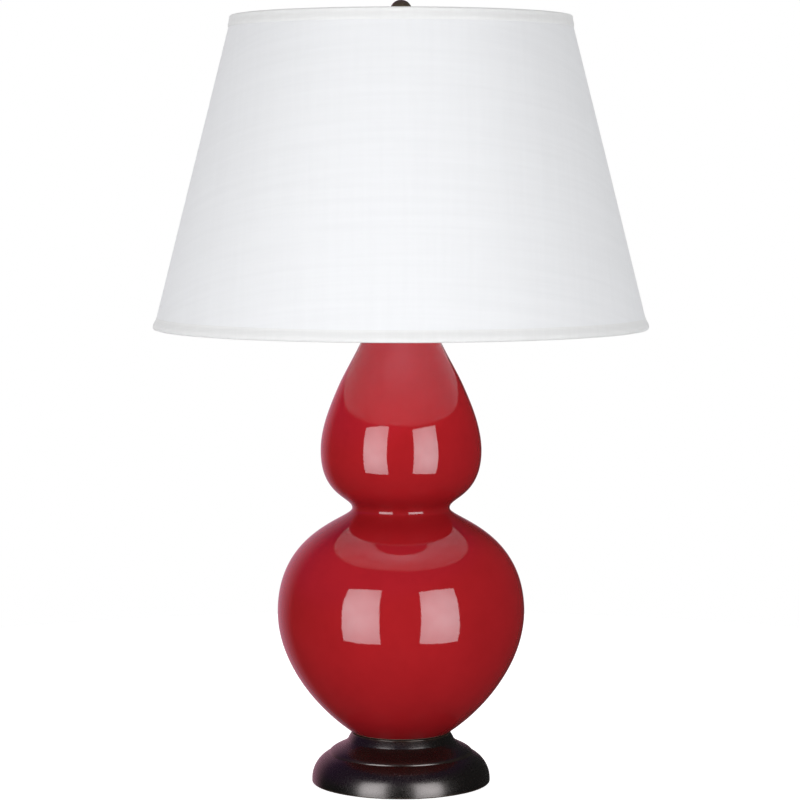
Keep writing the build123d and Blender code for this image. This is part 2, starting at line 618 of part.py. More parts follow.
def terminal_screw(side):
    """Slotted screw in the core's underside."""
    seat = CORE_Z - GLUE_GAP
    head = disc(TERMINAL_HEAD_R, seat - TERMINAL_HEAD_T, seat)
    shank = disc(TERMINAL_SHANK_R, seat - 0.2, CORE_Z + TERMINAL_DEPTH)
    slot = Pos(0, 0, seat - TERMINAL_HEAD_T) * Box(8, 0.7, 1.0)
    return Pos(side * TERMINAL_X, 0, 0) * (head + shank - slot)


def screw_shell():
    """Cup that the bulb's cap turns in."""
    floor = CORE_TOP + GLUE_GAP
    outer = SCREW_SHELL_BORE + SCREW_SHELL_T
    cup = disc(outer, floor, floor + SCREW_SHELL_LENGTH, SCREW_SHELL_BORE)
    return cup + disc(outer, floor, floor + SCREW_SHELL_T, SCREW_SHELL_HOLE_R)


def centre_contact():
    """Strip with a raised button under the bulb's tip."""
    length, width, thickness = CONTACT_STRIP
    floor = CORE_TOP + GLUE_GAP
    strip = Pos(0, 0, floor + thickness / 2) * Box(length, width, thickness)
    button = disc(CONTACT_BUTTON_R, floor, floor + CONTACT_BUTTON_RISE)
    return strip + fillet(button.edges().sort_by(Axis.Z)[-1], 0.8)


def switch_stem():
    """Shaft of the rotary switch."""
    knob_start = -SOCKET_SHELL_R - SWITCH_BOSS_STANDOUT - KNOB_GAP
    return rod_y(SWITCH_STEM_R, -SWITCH_STEM_INSET, knob_start - KNOB_HUB_LENGTH + 1, KNOB_AXIS_Z)


def switch_knob():
    """Round hub with a flat paddle to turn it by."""
    start = -SOCKET_SHELL_R - SWITCH_BOSS_STANDOUT - KNOB_GAP
    hub = rod_y(KNOB_HUB_R, start, start - KNOB_HUB_LENGTH, KNOB_AXIS_Z)
    hub = chamfer(hub.edges().filter_by(GeomType.CIRCLE), 0.6)
    paddle = Box(KNOB_PADDLE_WIDTH, KNOB_PADDLE_LENGTH, KNOB_PADDLE_T)
    corner = KNOB_PADDLE_WIDTH * 0.3
    paddle = fillet(paddle.edges().filter_by(Axis.Z).group_by(Axis.Y)[0], corner)
    paddle = fillet(paddle.edges().filter_by(Axis.Z).group_by(Axis.Y)[-1], corner)
    middle = start - KNOB_HUB_LENGTH - KNOB_PADDLE_LENGTH / 2 + 5.0
    knob = hub + Pos(0, middle, KNOB_AXIS_Z) * paddle
    socket = rod_y(SWITCH_STEM_R + GLUE_GAP, start + 1, start - KNOB_HUB_LENGTH + 1 - GLUE_GAP, KNOB_AXIS_Z)
    return knob - socket


# ---- bulb ----------------------------------------------------------------
def glass_face(inset):
    """Half section of the bulb's glass, set in by inset and filled to the axis."""
    tuck_r = BULB_CAP_R - BULB_CAP_SKIN - GLUE_GAP - inset
    foot_z = CAP_TOP - BULB_GLASS_TUCK
    neck = (BULB_NECK_R - inset, CAP_TOP + BULB_NECK_RISE)
    centre_z = BULB_TOP - BULB_GLASS_R
    wide = (BULB_GLASS_R - inset, centre_z)
    spread = centre_z - neck[1]
    flare = Bezier(neck, (neck[0] + 1.0, neck[1] + 0.33 * spread), (wide[0], wide[1] - 0.38 * spread), wide)
    crown = CenterArc((0, centre_z), BULB_GLASS_R - inset, 0, 90)
    tuck = Polyline((0, foot_z), (tuck_r, foot_z), (tuck_r, CAP_TOP), neck)
    axis = Line((0, BULB_TOP - inset), (0, foot_z))
    return [*tuck.edges(), flare, crown, axis]


def bulb_glass():
    """Thin envelope, open at the foot where it sits in the metal cap."""
    foot_z = CAP_TOP - BULB_GLASS_TUCK
    hollow = turned(glass_face(BULB_GLASS_SKIN)) + disc(
        BULB_CAP_R - BULB_CAP_SKIN - GLUE_GAP - BULB_GLASS_SKIN, foot_z - 1, foot_z + 1
    )
    return turned(glass_face(0.0)) - hollow


def bulb_cap():
    """Metal screw cap with a flared mouth."""
    skin = BULB_CAP_SKIN
    floor_r = BULB_INSULATOR_R
    return turned_polygon(
        (floor_r - 2.0, CAP_FOOT),
        (floor_r, CAP_FOOT),
        (BULB_CAP_R, CAP_FOOT + 3.0),
        (BULB_CAP_R, CAP_TOP),
        (BULB_CAP_R - skin, CAP_TOP),
        (BULB_CAP_R - skin, CAP_FOOT + 3.0 + skin),
        (floor_r - 2.0, CAP_FOOT + skin),
    )


def bulb_insulator():
    """Black glass between the cap and the tip."""
    seat = CAP_FOOT - GLUE_GAP
    foot = TIP_Z + BULB_TIP_T + GLUE_GAP
    cone = turned_polygon((0, foot), (BULB_TIP_R + 0.5, foot), (BULB_INSULATOR_R, seat), (0, seat))
    return cone


def bulb_tip():
    """Solder contact under the bulb."""
    tip = disc(BULB_TIP_R, TIP_Z, TIP_Z + BULB_TIP_T)
    return fillet(tip.edges().sort_by(Axis.Z)[0], BULB_TIP_T * 0.7)


# ---- shade ---------------------------------------------------------------
SHADE_SLOPE = (SHADE_TOP_R - SHADE_BOTTOM_R) / SHADE_HEIGHT
EDGE_INSET = TRIM_SKIN + GLUE_GAP
FABRIC_TOP = SHADE_TOP_Z - EDGE_INSET
FABRIC_FOOT = SHADE_BOTTOM_Z + EDGE_INSET
LINER_SET_IN = SHADE_SKIN + GLUE_GAP
RING_SET_IN = LINER_SET_IN + LINER_SKIN + GLUE_GAP + RING_WIRE_R
TOP_RING_Z = FABRIC_TOP - RING_WIRE_R - 0.2
BOTTOM_RING_Z = FABRIC_FOOT + RING_WIRE_R + 0.2


def shade_radius(z):
    """Outer radius of the fabric cone at a height."""
    return SHADE_BOTTOM_R + SHADE_SLOPE * (z - SHADE_BOTTOM_Z)


def cone_skin(set_in, skin):
    """Thin cone a little inside the fabric's face."""
    top_r = shade_radius(FABRIC_TOP) - set_in
    foot_r = shade_radius(FABRIC_FOOT) - set_in
    return turned_polygon(
        (foot_r - skin, FABRIC_FOOT), (foot_r, FABRIC_FOOT), (top_r, FABRIC_TOP), (top_r - skin, FABRIC_TOP)
    )


TOP_RING_R = shade_radius(TOP_RING_Z) - RING_SET_IN - 0.5
BOTTOM_RING_R = shade_radius(BOTTOM_RING_Z) - RING_SET_IN - 0.1


def wire_ring(radius, height):
    """Round wire hoop."""
    return Pos(0, 0, height) * Torus(radius, RING_WIRE_R)


def edge_trim(edge_z, inward, ring_r, bulge):
    """Folded tape over an edge of the shade: down the face, round the edge, and up inside.

    inward is +1 when the shade lies above the edge and -1 when it lies below."""
    far_z = edge_z + inward * TRIM_WIDTH
    face_r = shade_radius(far_z) + GLUE_GAP
    near_z = edge_z + inward * 2.4
    near_r = shade_radius(near_z) + GLUE_GAP + bulge
    inner_r = ring_r - RING_WIRE_R - GLUE_GAP
    back_r = inner_r - TRIM_SKIN * 0.6
    tuck_z = edge_z + inward * (TRIM_TUCK + EDGE_INSET)
    roof_z = edge_z + inward * TRIM_SKIN
    skin = TRIM_SKIN * 0.7
    shoulder = Bezier((near_r + skin, near_z), (near_r + skin, edge_z), (near_r - 2.0, edge_z))
    face = Bezier(
        (face_r + 0.25, far_z),
        (face_r + 0.25 + 0.6 * bulge, far_z - inward * TRIM_WIDTH * 0.3),
        (near_r + skin, near_z + inward * 3.5),
        (near_r + skin, near_z),
    )
    hem = Bezier((back_r + 2.2, edge_z), (back_r, edge_z), (back_r, edge_z + inward * 2.6))
    near_in = (shade_radius(near_z) + GLUE_GAP, near_z)
    roof_out = (shade_radius(roof_z) + GLUE_GAP, roof_z)
    lines = [
        face,
        shoulder,
        Line(shoulder @ 1, hem @ 0),
        hem,
        Line(hem @ 1, (back_r, tuck_z)),
        *Polyline(
            (back_r, tuck_z),
            (inner_r, tuck_z),
            (inner_r, roof_z),
            roof_out,
            near_in,
            (face_r, far_z),
            face @ 0,
        ).edges(),
    ]
    return turned(lines)


def spider_hub():
    """Washer that drops over the stud."""
    plate = disc(SPIDER_HUB_R, HUB_Z, HUB_TOP, STUD_R + WASHER_CLEAR)
    return chamfer(outer_rims(plate, STUD_R * 2), 0.3)


def spider_arm(index, radius=SPIDER_ARM_R):
    """Bent wire from the hub out and up to the top ring."""
    level = HUB_Z + SPIDER_HUB_T / 2
    start = (SPIDER_HUB_R - 1.0, level)
    bend = (TOP_RING_R * SPIDER_RUN, level)
    end = (TOP_RING_R, TOP_RING_Z)
    path = Plane.XZ * FilletPolyline(start, bend, end, radius=SPIDER_BEND_R)
    section = Plane(path @ 0, z_dir=path % 0) * Circle(radius)
    arm = sweep(section, path)
    arm -= wire_ring(TOP_RING_R, TOP_RING_Z) + disc(SPIDER_HUB_R, HUB_Z - 2, HUB_TOP + 2)
    return Rot(0, 0, 90 + 360 / SPIDER_ARMS * index) * arm


def top_trim():
    """Upper tape, slit where the spider's arms come through to the ring."""
    tape = edge_trim(SHADE_TOP_Z, -1, TOP_RING_R, 1.0)
    for index in range(SPIDER_ARMS):
        tape -= spider_arm(index, SPIDER_ARM_R + GLUE_GAP)
    return tape


# ---- finial --------------------------------------------------------------
def finial():
    """Ball on a short neck and foot, bored for the stud."""
    z = HUB_TOP
    centre_z = z + FINIAL_HEIGHT - FINIAL_BALL_R
    foot_top = z + FINIAL_FOOT_T
    meet = sqrt(FINIAL_BALL_R**2 - FINIAL_NECK_R**2)
    ball = Pos(0, 0, centre_z) * Sphere(FINIAL_BALL_R)
    foot = Polyline((0, z), (FINIAL_FOOT_R, z), (FINIAL_FOOT_R, foot_top))
    cove = Bezier(foot @ 1, (FINIAL_NECK_R, foot_top), (FINIAL_NECK_R, foot_top + FINIAL_COVE))
    neck = Polyline(cove @ 1, (FINIAL_NECK_R, centre_z - meet), (0, centre_z), (0, z))
    body = turned([*foot.edges(), cove, *neck.edges()])
    return body + ball - disc(STUD_BORE, z - 1, z + FINIAL_BORE_DEPTH)


# ---- all nodes -----------------------------------------------------------
def build_nodes():
    """Every piece of the lamp, by node name."""
    washer_hole = PIPE_R + WASHER_CLEAR
    sides = (-1, 1)
    return {
        "base_foot": base_foot(),
        "base_weight": base_weight(),
        "base_washer": disc(WASHER_R, WASHER_Z, WEIGHT_Z, washer_hole),
        "base_lock_washer": lock_washer(),
        "base_nut": hexagon(NUT_ACROSS_FLATS, NUT_Z, LOCK_WASHER_Z, THREAD_R),
        "bottom_cover": disc(COVER_R, FELT_T, COVER_TOP),
        "felt_pad": disc(COVER_R - FELT_INSET, 0, FELT_T),
        "cord_bushing": cord_bushing(),
        "lamp_pipe": disc(PIPE_R, PIPE_FOOT, PIPE_TOP, PIPE_BORE_R),
        "foot_gasket": disc(GOURD_FOOT_R - GASKET_INSET, BASE_HEIGHT, GOURD_FOOT_Z, GOURD_HOLE_R),
        "gourd_body": gourd_body(),
        "vase_cap": vase_cap(),
        "neck_tube": disc(NECK_TUBE_R, NECK_TUBE_Z, SADDLE_Z, HOLE_R),
        "harp_saddle": harp_saddle(),
        "harp_wire": harp_wire(),
        "ferrule_left": ferrule(-1),
        "ferrule_right": ferrule(1),
        "harp_stud": harp_stud(),
        "socket_locknut": hexagon(NUT_ACROSS_FLATS, LOCKNUT_Z, SOCKET_Z, THREAD_R),
        "socket_cap": socket_cap(),
        "set_screw": set_screw(),
        "socket_shell": socket_shell(),
        "socket_insulator": socket_insulator(),
        "socket_core": socket_core(),
        "terminal_screws": Compound([terminal_screw(side) for side in sides]),
        "screw_shell": screw_shell(),
        "centre_contact": centre_contact(),
        "switch_stem": switch_stem(),
        "switch_knob": switch_knob(),
        "bulb_glass": bulb_glass(),
        "bulb_cap": bulb_cap(),
        "bulb_insulator": bulb_insulator(),
        "bulb_tip": bulb_tip(),
        "spider_hub": spider_hub(),
        "spider_arms": Compound([spider_arm(index) for index in range(SPIDER_ARMS)]),
        "top_ring": wire_ring(TOP_RING_R, TOP_RING_Z),
        "bottom_ring": wire_ring(BOTTOM_RING_R, BOTTOM_RING_Z),
        "shade_liner": cone_skin(LINER_SET_IN, LINER_SKIN),
        "shade_fabric": cone_skin(0.0, SHADE_SKIN),
        "top_trim": top_trim(),
        "bottom_trim": edge_trim(SHADE_BOTTOM_Z, 1, BOTTOM_RING_R, 0.9),
        "finial": finial(),
    }


for name, piece in build_nodes().items():
    export_step(piece, f"parts/{name}.step")
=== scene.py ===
"""Double gourd table lamp: finishes and fine surfaces around the packed frame.

Metres throughout.  +Z is up, the lamp stands on z = 0 and faces -Y.
"""
import functools
import math

import bmesh
import bpy
import numpy as np
from mathutils import Matrix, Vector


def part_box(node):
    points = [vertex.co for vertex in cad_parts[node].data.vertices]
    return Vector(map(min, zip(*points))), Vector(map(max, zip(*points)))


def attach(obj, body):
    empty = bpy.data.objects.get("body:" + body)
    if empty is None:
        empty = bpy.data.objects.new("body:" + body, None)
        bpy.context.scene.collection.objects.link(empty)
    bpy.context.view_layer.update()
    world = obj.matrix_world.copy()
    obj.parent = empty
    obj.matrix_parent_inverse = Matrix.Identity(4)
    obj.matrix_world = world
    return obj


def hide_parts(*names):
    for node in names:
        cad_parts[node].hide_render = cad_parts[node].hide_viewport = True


bl_info = {
    "name": "Double gourd table lamp",
    "version": (1, 0, 0),
    "blender": (4, 5, 0),
    "location": "3D View > Sidebar > Gourd lamp",
    "description": "Builds a glazed double gourd table lamp with a cloth shade",
    "category": "Add Mesh",
}

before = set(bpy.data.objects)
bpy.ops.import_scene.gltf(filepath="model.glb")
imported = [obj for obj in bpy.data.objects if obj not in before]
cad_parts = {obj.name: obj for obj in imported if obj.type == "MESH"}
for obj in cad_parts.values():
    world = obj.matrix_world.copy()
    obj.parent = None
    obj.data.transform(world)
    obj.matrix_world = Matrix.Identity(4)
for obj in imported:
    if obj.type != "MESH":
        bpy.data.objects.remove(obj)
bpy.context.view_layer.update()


# ---- places taken from the frame -----------------------------------------
@functools.lru_cache(maxsize=None)
def span(node):
    """Lowest and highest corner of a node."""
    low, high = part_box(node)
    return tuple(low), tuple(high)


def foot_of(node):
    """Height of a node's underside."""
    return span(node)[0][2]


def top_of(node):
    """Height of a node's top."""
    return span(node)[1][2]


def radius_of(node):
    """Widest radius of a node that is round about the lamp's axis."""
    return span(node)[1][1]


# ---- properties ----------------------------------------------------------
def length(label, description, default):
    """A size in metres."""
    return bpy.props.FloatProperty(
        name=label, description=description, default=default, min=0.0, precision=5, unit="LENGTH"
    )


def angle(label, description, degrees):
    """An angle, given in degrees."""
    return bpy.props.FloatProperty(
        name=label, description=description, default=math.radians(degrees), subtype="ANGLE"
    )


def amount(label, description, default):
    """A plain number."""
    return bpy.props.FloatProperty(name=label, description=description, default=default, min=0.0)


def colour(label, description, default):
    """A colour in linear light."""
    return bpy.props.FloatVectorProperty(
        name=label, description=description, default=default, size=3, min=0.0, max=1.0, subtype="COLOR"
    )


class GourdSettings(bpy.types.PropertyGroup):
    """The ceramic body: its outline and its glaze."""

    foot_radius: length("Foot radius", "Radius where the body stands on the base", 0.0494)
    foot_lean: angle("Foot lean", "Slope at which the wall leaves the foot", 34.3)
    foot_pull: length("Foot pull", "How far the wall keeps that slope", 0.052)
    belly_radius: length("Belly radius", "Widest radius of the lower bulb", radius_of("gourd_body"))
    belly_rise: length("Belly rise", "Height of the belly above the foot", 0.1224)
    belly_pull_low: length("Belly pull below", "Fullness of the lower bulb under its belly", 0.0451)
    belly_pull_high: length("Belly pull above", "Fullness of the lower bulb over its belly", 0.0828)
    waist_radius: length("Waist radius", "Narrowest radius between the bulbs", 0.0491)
    waist_rise: length("Waist rise", "Height of the waist above the foot", 0.2276)
    waist_pull: length("Waist pull", "How long the waist stays narrow", 0.0117)
    crown_radius: length("Crown radius", "Widest radius of the upper bulb", 0.0810)
    crown_rise: length("Crown rise", "Height of the crown above the foot", 0.2857)
    crown_pull_low: length("Crown pull below", "Fullness of the upper bulb under its crown", 0.0459)
    crown_pull_high: length("Crown pull above", "Fullness of the upper bulb over its crown", 0.0224)
    shoulder_radius: length("Shoulder radius", "Radius half way up to the neck", 0.0624)
    shoulder_rise: length("Shoulder rise", "Height of that point above the foot", 0.3517)
    shoulder_lean: angle("Shoulder lean", "Slope there, off plumb", 23.9)
    shoulder_pull: length("Shoulder pull", "How long the wall keeps that slope", 0.0233)
    neck_radius: length("Neck radius", "Radius at the mouth", 0.0280)
    neck_pull: length("Neck pull", "How long the neck stays upright", 0.0220)
    wall: length("Wall", "Thickness of the ceramic", 0.0060)
    hole_radius: length("Hole radius", "Hole in the floor for the pipe", 0.0070)
    unevenness: length("Unevenness", "How far the thrown wall strays from round", 0.00005)
    glaze: colour("Glaze", "Deep red of the glaze", (0.375, 0.0120, 0.0160))
    # Darker red for thick glaze and its cloudiness, and for the painted shade band under the waist
    pooled_and_shaded_glaze: colour("Pooled glaze", "Darker red where the glaze lies thick", (0.300, 0.0085, 0.0115))
    biscuit: colour("Biscuit", "Bare fired clay at the foot", (0.46, 0.36, 0.27))


class BaseSettings(bpy.types.PropertyGroup):
    """The cast base: its outline and the bronze finish."""

    rim_edge: length("Rim edge", "Rounding under the rim", 0.0008)
    dome_radius: length("Dome radius", "Arc of the big lower tier", 0.0288)
    dome_sweep: angle("Dome sweep", "How far that arc goes", 65.0)
    tier_set_back: length("Tier set-back", "Groove between the lower tier and the upper one", 0.0009)
    tier_foot_rise: length("Tier foot rise", "Rise across that groove", 0.0005)
    tier_pull_low: length("Tier pull below", "How long the upper tier's edge stays upright", 0.0031)
    tier_pull_high: length("Tier pull above", "How long its top keeps its slope", 0.0062)
    tier_slope: angle("Tier slope", "Slope of the upper tier's top", 26.0)
    tier_top: length("Tier top", "Height where the upper tier turns hollow", 0.0387)
    tier_step: length("Tier step", "From there in to the collar's foot", 0.0050)
    cove_pull: length("Cove pull", "Sweep of the hollow between tier and collar", 0.0018)
    collar_flare: length("Collar flare", "How much wider the collar is at its foot", 0.0041)
    collar_foot_rise: length("Collar foot rise", "Collar's foot above the tier's top", 0.0039)
    collar_pull: length("Collar pull", "How long the collar keeps that flare", 0.0025)
    collar_lip: length("Collar lip", "How far the collar stands out under the ceramic foot", 0.0006)
    wall: length("Wall", "Thickness of the casting", 0.0030)
    plate: length("Plate", "Thickness of the casting's top", 0.0030)
    pipe_hole: length("Pipe hole", "Radius of the hole that the lamp pipe goes through", 0.0054)
    bronze: colour("Bronze", "Dark bronze finish", (0.0050, 0.0046, 0.0040))
    worn_bronze: colour("Worn bronze", "Warmer bronze on rubbed edges", (0.038, 0.024, 0.016))


class ShadeSettings(bpy.types.PropertyGroup):
    """The shade: cloth, lining and trims."""

    skin: length("Cloth", "Thickness of the cloth", 0.0006)
    lining: length("Lining", "Thickness of the lining", 0.0006)
    glue_gap: length("Glue gap", "Between pieces that are glued together", 0.00006)
    trim_skin: length("Trim skin", "Thickness of the folded tape", 0.0008)
    trim_width: length("Trim width", "Height of the trim seen from outside", 0.0116)
    trim_tuck: length("Trim tuck", "How far the trim turns up inside", 0.0060)
    ring_wire: length("Ring wire", "Radius of the shade's wire rings", 0.0018)
    lap_width: length("Lap width", "Overlap of the cloth at the back", 0.012)
    lap_rise: length("Lap rise", "How far the overlap stands out", 0.0005)
    thread: length("Thread pitch", "Distance between threads", 0.00050)
    cloth: colour("Cloth colour", "White shade cloth", (0.845, 0.850, 0.868))
    tape: colour("Tape colour", "Slightly warmer white of the trims", (0.815, 0.815, 0.815))
    lining_colour: colour("Lining colour", "White lining", (0.90, 0.90, 0.885))


class FittingSettings(bpy.types.PropertyGroup):
    """Bulb, finial, harp and the other fittings."""

    bulb_radius: length("Bulb radius", "Widest radius of the bulb", radius_of("bulb_glass"))
    bulb_skin: length("Bulb skin", "Thickness of the bulb's glass", 0.0009)
    bulb_throat: length("Bulb throat", "Radius of the glass inside its cap", 0.01254)
    bulb_neck: length("Bulb neck", "Radius of the glass just above its cap", 0.0145)
    bulb_neck_rise: length("Bulb neck rise", "Height of that neck above the cap", 0.0060)
    finial_radius: length("Finial radius", "Radius of the finial's ball", radius_of("finial"))
    finial_foot: length("Finial foot", "Radius of the finial's foot", 0.0070)
    finial_neck: length("Finial neck", "Radius of the neck under the ball", 0.0048)
    finial_bronze: colour("Finial bronze", "Lighter bronze of the finial", (0.066, 0.056, 0.034))
    rubbed_bronze: colour("Rubbed bronze", "Where fingers have turned the finial", (0.135, 0.108, 0.066))
    brass: colour("Brass", "Lacquered brass", (0.62, 0.42, 0.17))
    zinc: colour("Zinc", "Zinc-plated steel", (0.56, 0.56, 0.57))
    aluminium: colour("Aluminium", "Bulb cap and screw shell", (0.80, 0.80, 0.81))
    frost: colour("Frost", "Frosted glass", (0.90, 0.90, 0.88))


class StageSettings(bpy.types.PropertyGroup):
    """Camera, lamps and surroundings."""

    camera_distance: length("Camera distance", "From the lamp's axis to the lens", 2.8617)
    camera_height: length("Camera height", "Lens above the table", 0.62075)
    camera_aside: length("Camera aside", "Lens to the left of the axis", 0.001)
    camera_pitch: angle("Camera pitch", "How far the lens looks down", 4.6508)
    lens: bpy.props.FloatProperty(
        name="Lens", description="Focal length in millimetres", default=128.44, unit="CAMERA"
    )
    box_distance: length("Softbox distance", "From the lamp's axis to each softbox", 1.6)
    box_width: length("Softbox width", "Width of each softbox", 1.05)
    box_height: length("Softbox height", "Height of each softbox", 1.62)
    box_level: length("Softbox level", "Middle of the softboxes above the table", 0.30)
    left_box: angle("Left softbox", "Round to the left of the camera", 38.4)
    right_box: angle("Right softbox", "Round to the right of the camera", 36.0)
    left_swing: angle("Left swing", "How far the left softbox's inner edge is swung forward", 18.0)
    right_swing: angle("Right swing", "How far the right softbox's inner edge is swung forward", 4.0)
    lamp_height: length("Lamp height", "Height of the part of a softbox that throws light", 0.80)
    lamp_level: length("Lamp level", "Middle of that part above the table", 0.64)
    box_glow: amount("Softbox glow", "Brightness of the softboxes in reflections", 7.1)
    box_tint: colour("Softbox tint", "Colour of the softboxes in reflections", (0.86, 0.955, 1.0))
    left_power: amount("Left power", "Light that the left softbox throws", 11.2)
    right_power: amount("Right power", "Light that the right softbox throws", 9.9)
    front_filtered: amount("Front filtered light", "Light through the shade's front cloth", 0.62)
    back_filtered: amount("Back filtered light", "Light through the shade's back cloth", 0.30)
    bounce: amount("Bounce", "Light that the table throws up in front", 0.17)
    ambient: amount("Ambient", "Light from the sides and the front", 0.38)
    backdrop: amount("Backdrop", "Light from the white backdrop", 1.10)
    floor_tone: amount("Floor tone", "How white the table is", 0.64)
    floor_glow: amount("Floor glow", "What the camera sees added to the table", 0.80)
    dark_room: colour("Dark room", "What shiny pieces reflect in front", (0.03, 0.03, 0.03))
    overhead: colour("Overhead", "What they reflect above them", (0.08, 0.025, 0.11))
    mirrored_backdrop: colour("Mirrored backdrop", "What they reflect behind", (0.70, 0.36, 0.48))


# ---- curves --------------------------------------------------------------
def curve(start, leave, arrive, end, steps):
    """Cubic curve: the ends and the two pulls, weighted by the powers of the share along it."""
    t = np.linspace(0.0, 1.0, steps)[:, None]
    start, leave, arrive, end = (np.asarray(p, float) for p in (start, leave, arrive, end))
    return (1 - t) ** 3 * start + 3 * (1 - t) ** 2 * t * leave + 3 * (1 - t) * t**2 * arrive + t**3 * end


def bend(start, pull, end, steps):
    """Quadratic curve: the ends and one pull, weighted by the powers of the share along it."""
    t = np.linspace(0.0, 1.0, steps)[:, None]
    start, pull, end = (np.asarray(p, float) for p in (start, pull, end))
    return (1 - t) ** 2 * start + 2 * (1 - t) * t * pull + t**2 * end


def arc(centre, radius, start, end, steps):
    """Points at one distance from the centre, at even angles from start to end in radians."""
    t = np.linspace(start, end, steps)
    return np.asarray(centre) + radius * np.stack([np.cos(t), np.sin(t)], axis=1)


def joined(*runs):
    """Runs of points end to end, without the points that repeat."""
    points = np.vstack([np.atleast_2d(np.asarray(run, float)) for run in runs])
    fresh = np.r_[True, np.linalg.norm(np.diff(points, axis=0), axis=1) > 1e-7]
    return points[fresh]


def travelled(points):
    """Distance along a line of points at each of them."""
    return np.r_[0.0, np.cumsum(np.linalg.norm(np.diff(points, axis=0), axis=1))]


def even(points, step):
    """The same line with its points about one step apart."""
    points = np.asarray(points, float)
    way = travelled(points)
    at = np.linspace(0.0, way[-1], max(2, round(way[-1] / step) + 1))
    return np.stack([np.interp(at, way, points[:, k]) for k in range(points.shape[1])], axis=1)


def set_in(points, depth):
    """The line moved square to itself, towards its left."""
    along = np.gradient(points, axis=0)
    along /= np.linalg.norm(along, axis=1)[:, None]
    return points + depth * np.stack([-along[:, 1], along[:, 0]], axis=1)


def smooth_step(value, low, high):
    """0 below low, 1 above high, and 3t^2 - 2t^3 between them."""
    t = np.clip((value - low) / (high - low), 0.0, 1.0)
    return t * t * (3 - 2 * t)


# ---- meshes --------------------------------------------------------------
CREASE = 35.0             # degrees between faces, past which an edge stays crisp


def skin(name, points, uv, closed, values=None, crease=CREASE):
    """Mesh over a grid of points (rows, columns, 3) whose rows go round, with one quad for each cell.

    A quad runs along the rows first, so a row's step crossed with a column's step points outwards.
    The columns go round too where the section is closed.  uv has one row and one column more than
    the points, and values are named numbers at the points."""
    rows, columns = points.shape[:2]
    i, j = np.meshgrid(np.arange(rows), np.arange(columns if closed else columns - 1), indexing="ij")
    i, j = i.ravel(), j.ravel()
    corner_i = np.stack([i, i + 1, i + 1, i], axis=1)
    corner_j = np.stack([j, j, j + 1, j + 1], axis=1)
    corners = (corner_i % rows) * columns + corner_j % columns
    mesh = bpy.data.meshes.new(name)
    mesh.vertices.add(rows * columns)
    mesh.vertices.foreach_set("co", points.astype(np.float32).ravel())
    mesh.loops.add(corners.size)
    mesh.loops.foreach_set("vertex_index", corners.astype(np.int32).ravel())
    mesh.polygons.add(len(corners))
    mesh.polygons.foreach_set("loop_start", np.arange(0, corners.size, 4, dtype=np.int32))
    layer = mesh.uv_layers.new(name="UVMap")
    layer.uv.foreach_set("vector", uv[corner_i, corner_j].astype(np.float32).ravel())
    for key, value in (values or {}).items():
        at_points = np.broadcast_to(value, (rows, columns)).astype(np.float32)
        mesh.attributes.new(key, "FLOAT", "POINT").data.foreach_set("value", at_points.ravel())
    mesh.update(calc_edges=True)
    close_poles(mesh)
    mesh.polygons.foreach_set("use_smooth", np.ones(len(mesh.polygons), bool))
    mesh.set_sharp_from_angle(angle=math.radians(crease))
    return mesh


def close_poles(mesh, reach=1e-6):
    """Joins points that lie on each other, as at a pole, and drops edges that are left without a face."""
    work = bmesh.new()
    work.from_mesh(mesh)
    bmesh.ops.remove_doubles(work, verts=work.verts, dist=reach)
    loose = [edge for edge in work.edges if not edge.link_faces]
    bmesh.ops.delete(work, geom=loose, context="EDGES")
    work.to_mesh(mesh)
    work.free()


def carried_round(turn, radius, height):
    """Points at each angle a and radius r: x = r cos a, y = r sin a, z = height."""
    height = np.broadcast_to(height, radius.shape)
    return np.stack([radius * np.cos(turn), radius * np.sin(turn), height], axis=2)


def turned(name, outline, count, closed=True, swell=None, values=None, crease=CREASE):
    """Surface of revolution: the outline carried round the axis by even angles.

    The outline is (radius, height), up the outer side; swell(turn, radius, height) adds to the radius."""
    turn = np.linspace(0.0, math.tau, count, endpoint=False)[:, None]
    radius, height = outline[None, :, 0], outline[None, :, 1]
    if swell is not None:
        radius = radius + swell(turn, radius, height)
    radius = np.broadcast_to(radius, (count, len(outline)))
    points = carried_round(turn, radius, height)
    way = travelled(np.vstack([outline, outline[:1]]))
    around = np.linspace(0.0, math.tau * outline[:, 0].max(), count + 1)
    uv = np.stack(np.meshgrid(around, way, indexing="ij"), axis=2)
    return skin(name, points, uv, closed, values, crease)


def added(name, data):
    """A new object in the scene."""
    thing = bpy.data.objects.new(name, data)
    bpy.context.scene.collection.objects.link(thing)
    return thing


def hidden_from(thing, *rays):
    """Keeps a thing out of what some kinds of ray see."""
    for ray in rays:
        setattr(thing, f"visible_{ray}", False)


def placed(name, mesh, body, slot, material, *nodes):
    """Links a piece, gives it its finish, and ties it to its body in place of the nodes."""
    mesh.materials.append(material)
    piece = added(name, mesh)
    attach(piece, body)
    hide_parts(*nodes)
    return piece


def dressed(material, *nodes):
    """Gives nodes that keep their own shape a finish."""
    for name in nodes:
        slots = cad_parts[name].data.materials
        if not slots:
            slots.append(material)
        for index in range(len(slots)):
            slots[index] = material


# ---- shader nodes --------------------------------------------------------
def node(tree, kind, inputs=None, **settings):
    """A shader node.  An input given as a socket is joined to it, and any other is its value."""
    made = tree.nodes.new(kind)
    for key, value in settings.items():
        setattr(made, key, value)
    for key, value in (inputs or {}).items():
        if isinstance(value, bpy.types.NodeSocket):
            tree.links.new(value, made.inputs[key])
        else:
            made.inputs[key].default_value = value
    return made


def rgba(values):
    """A colour with full cover."""
    return (*values, 1.0)


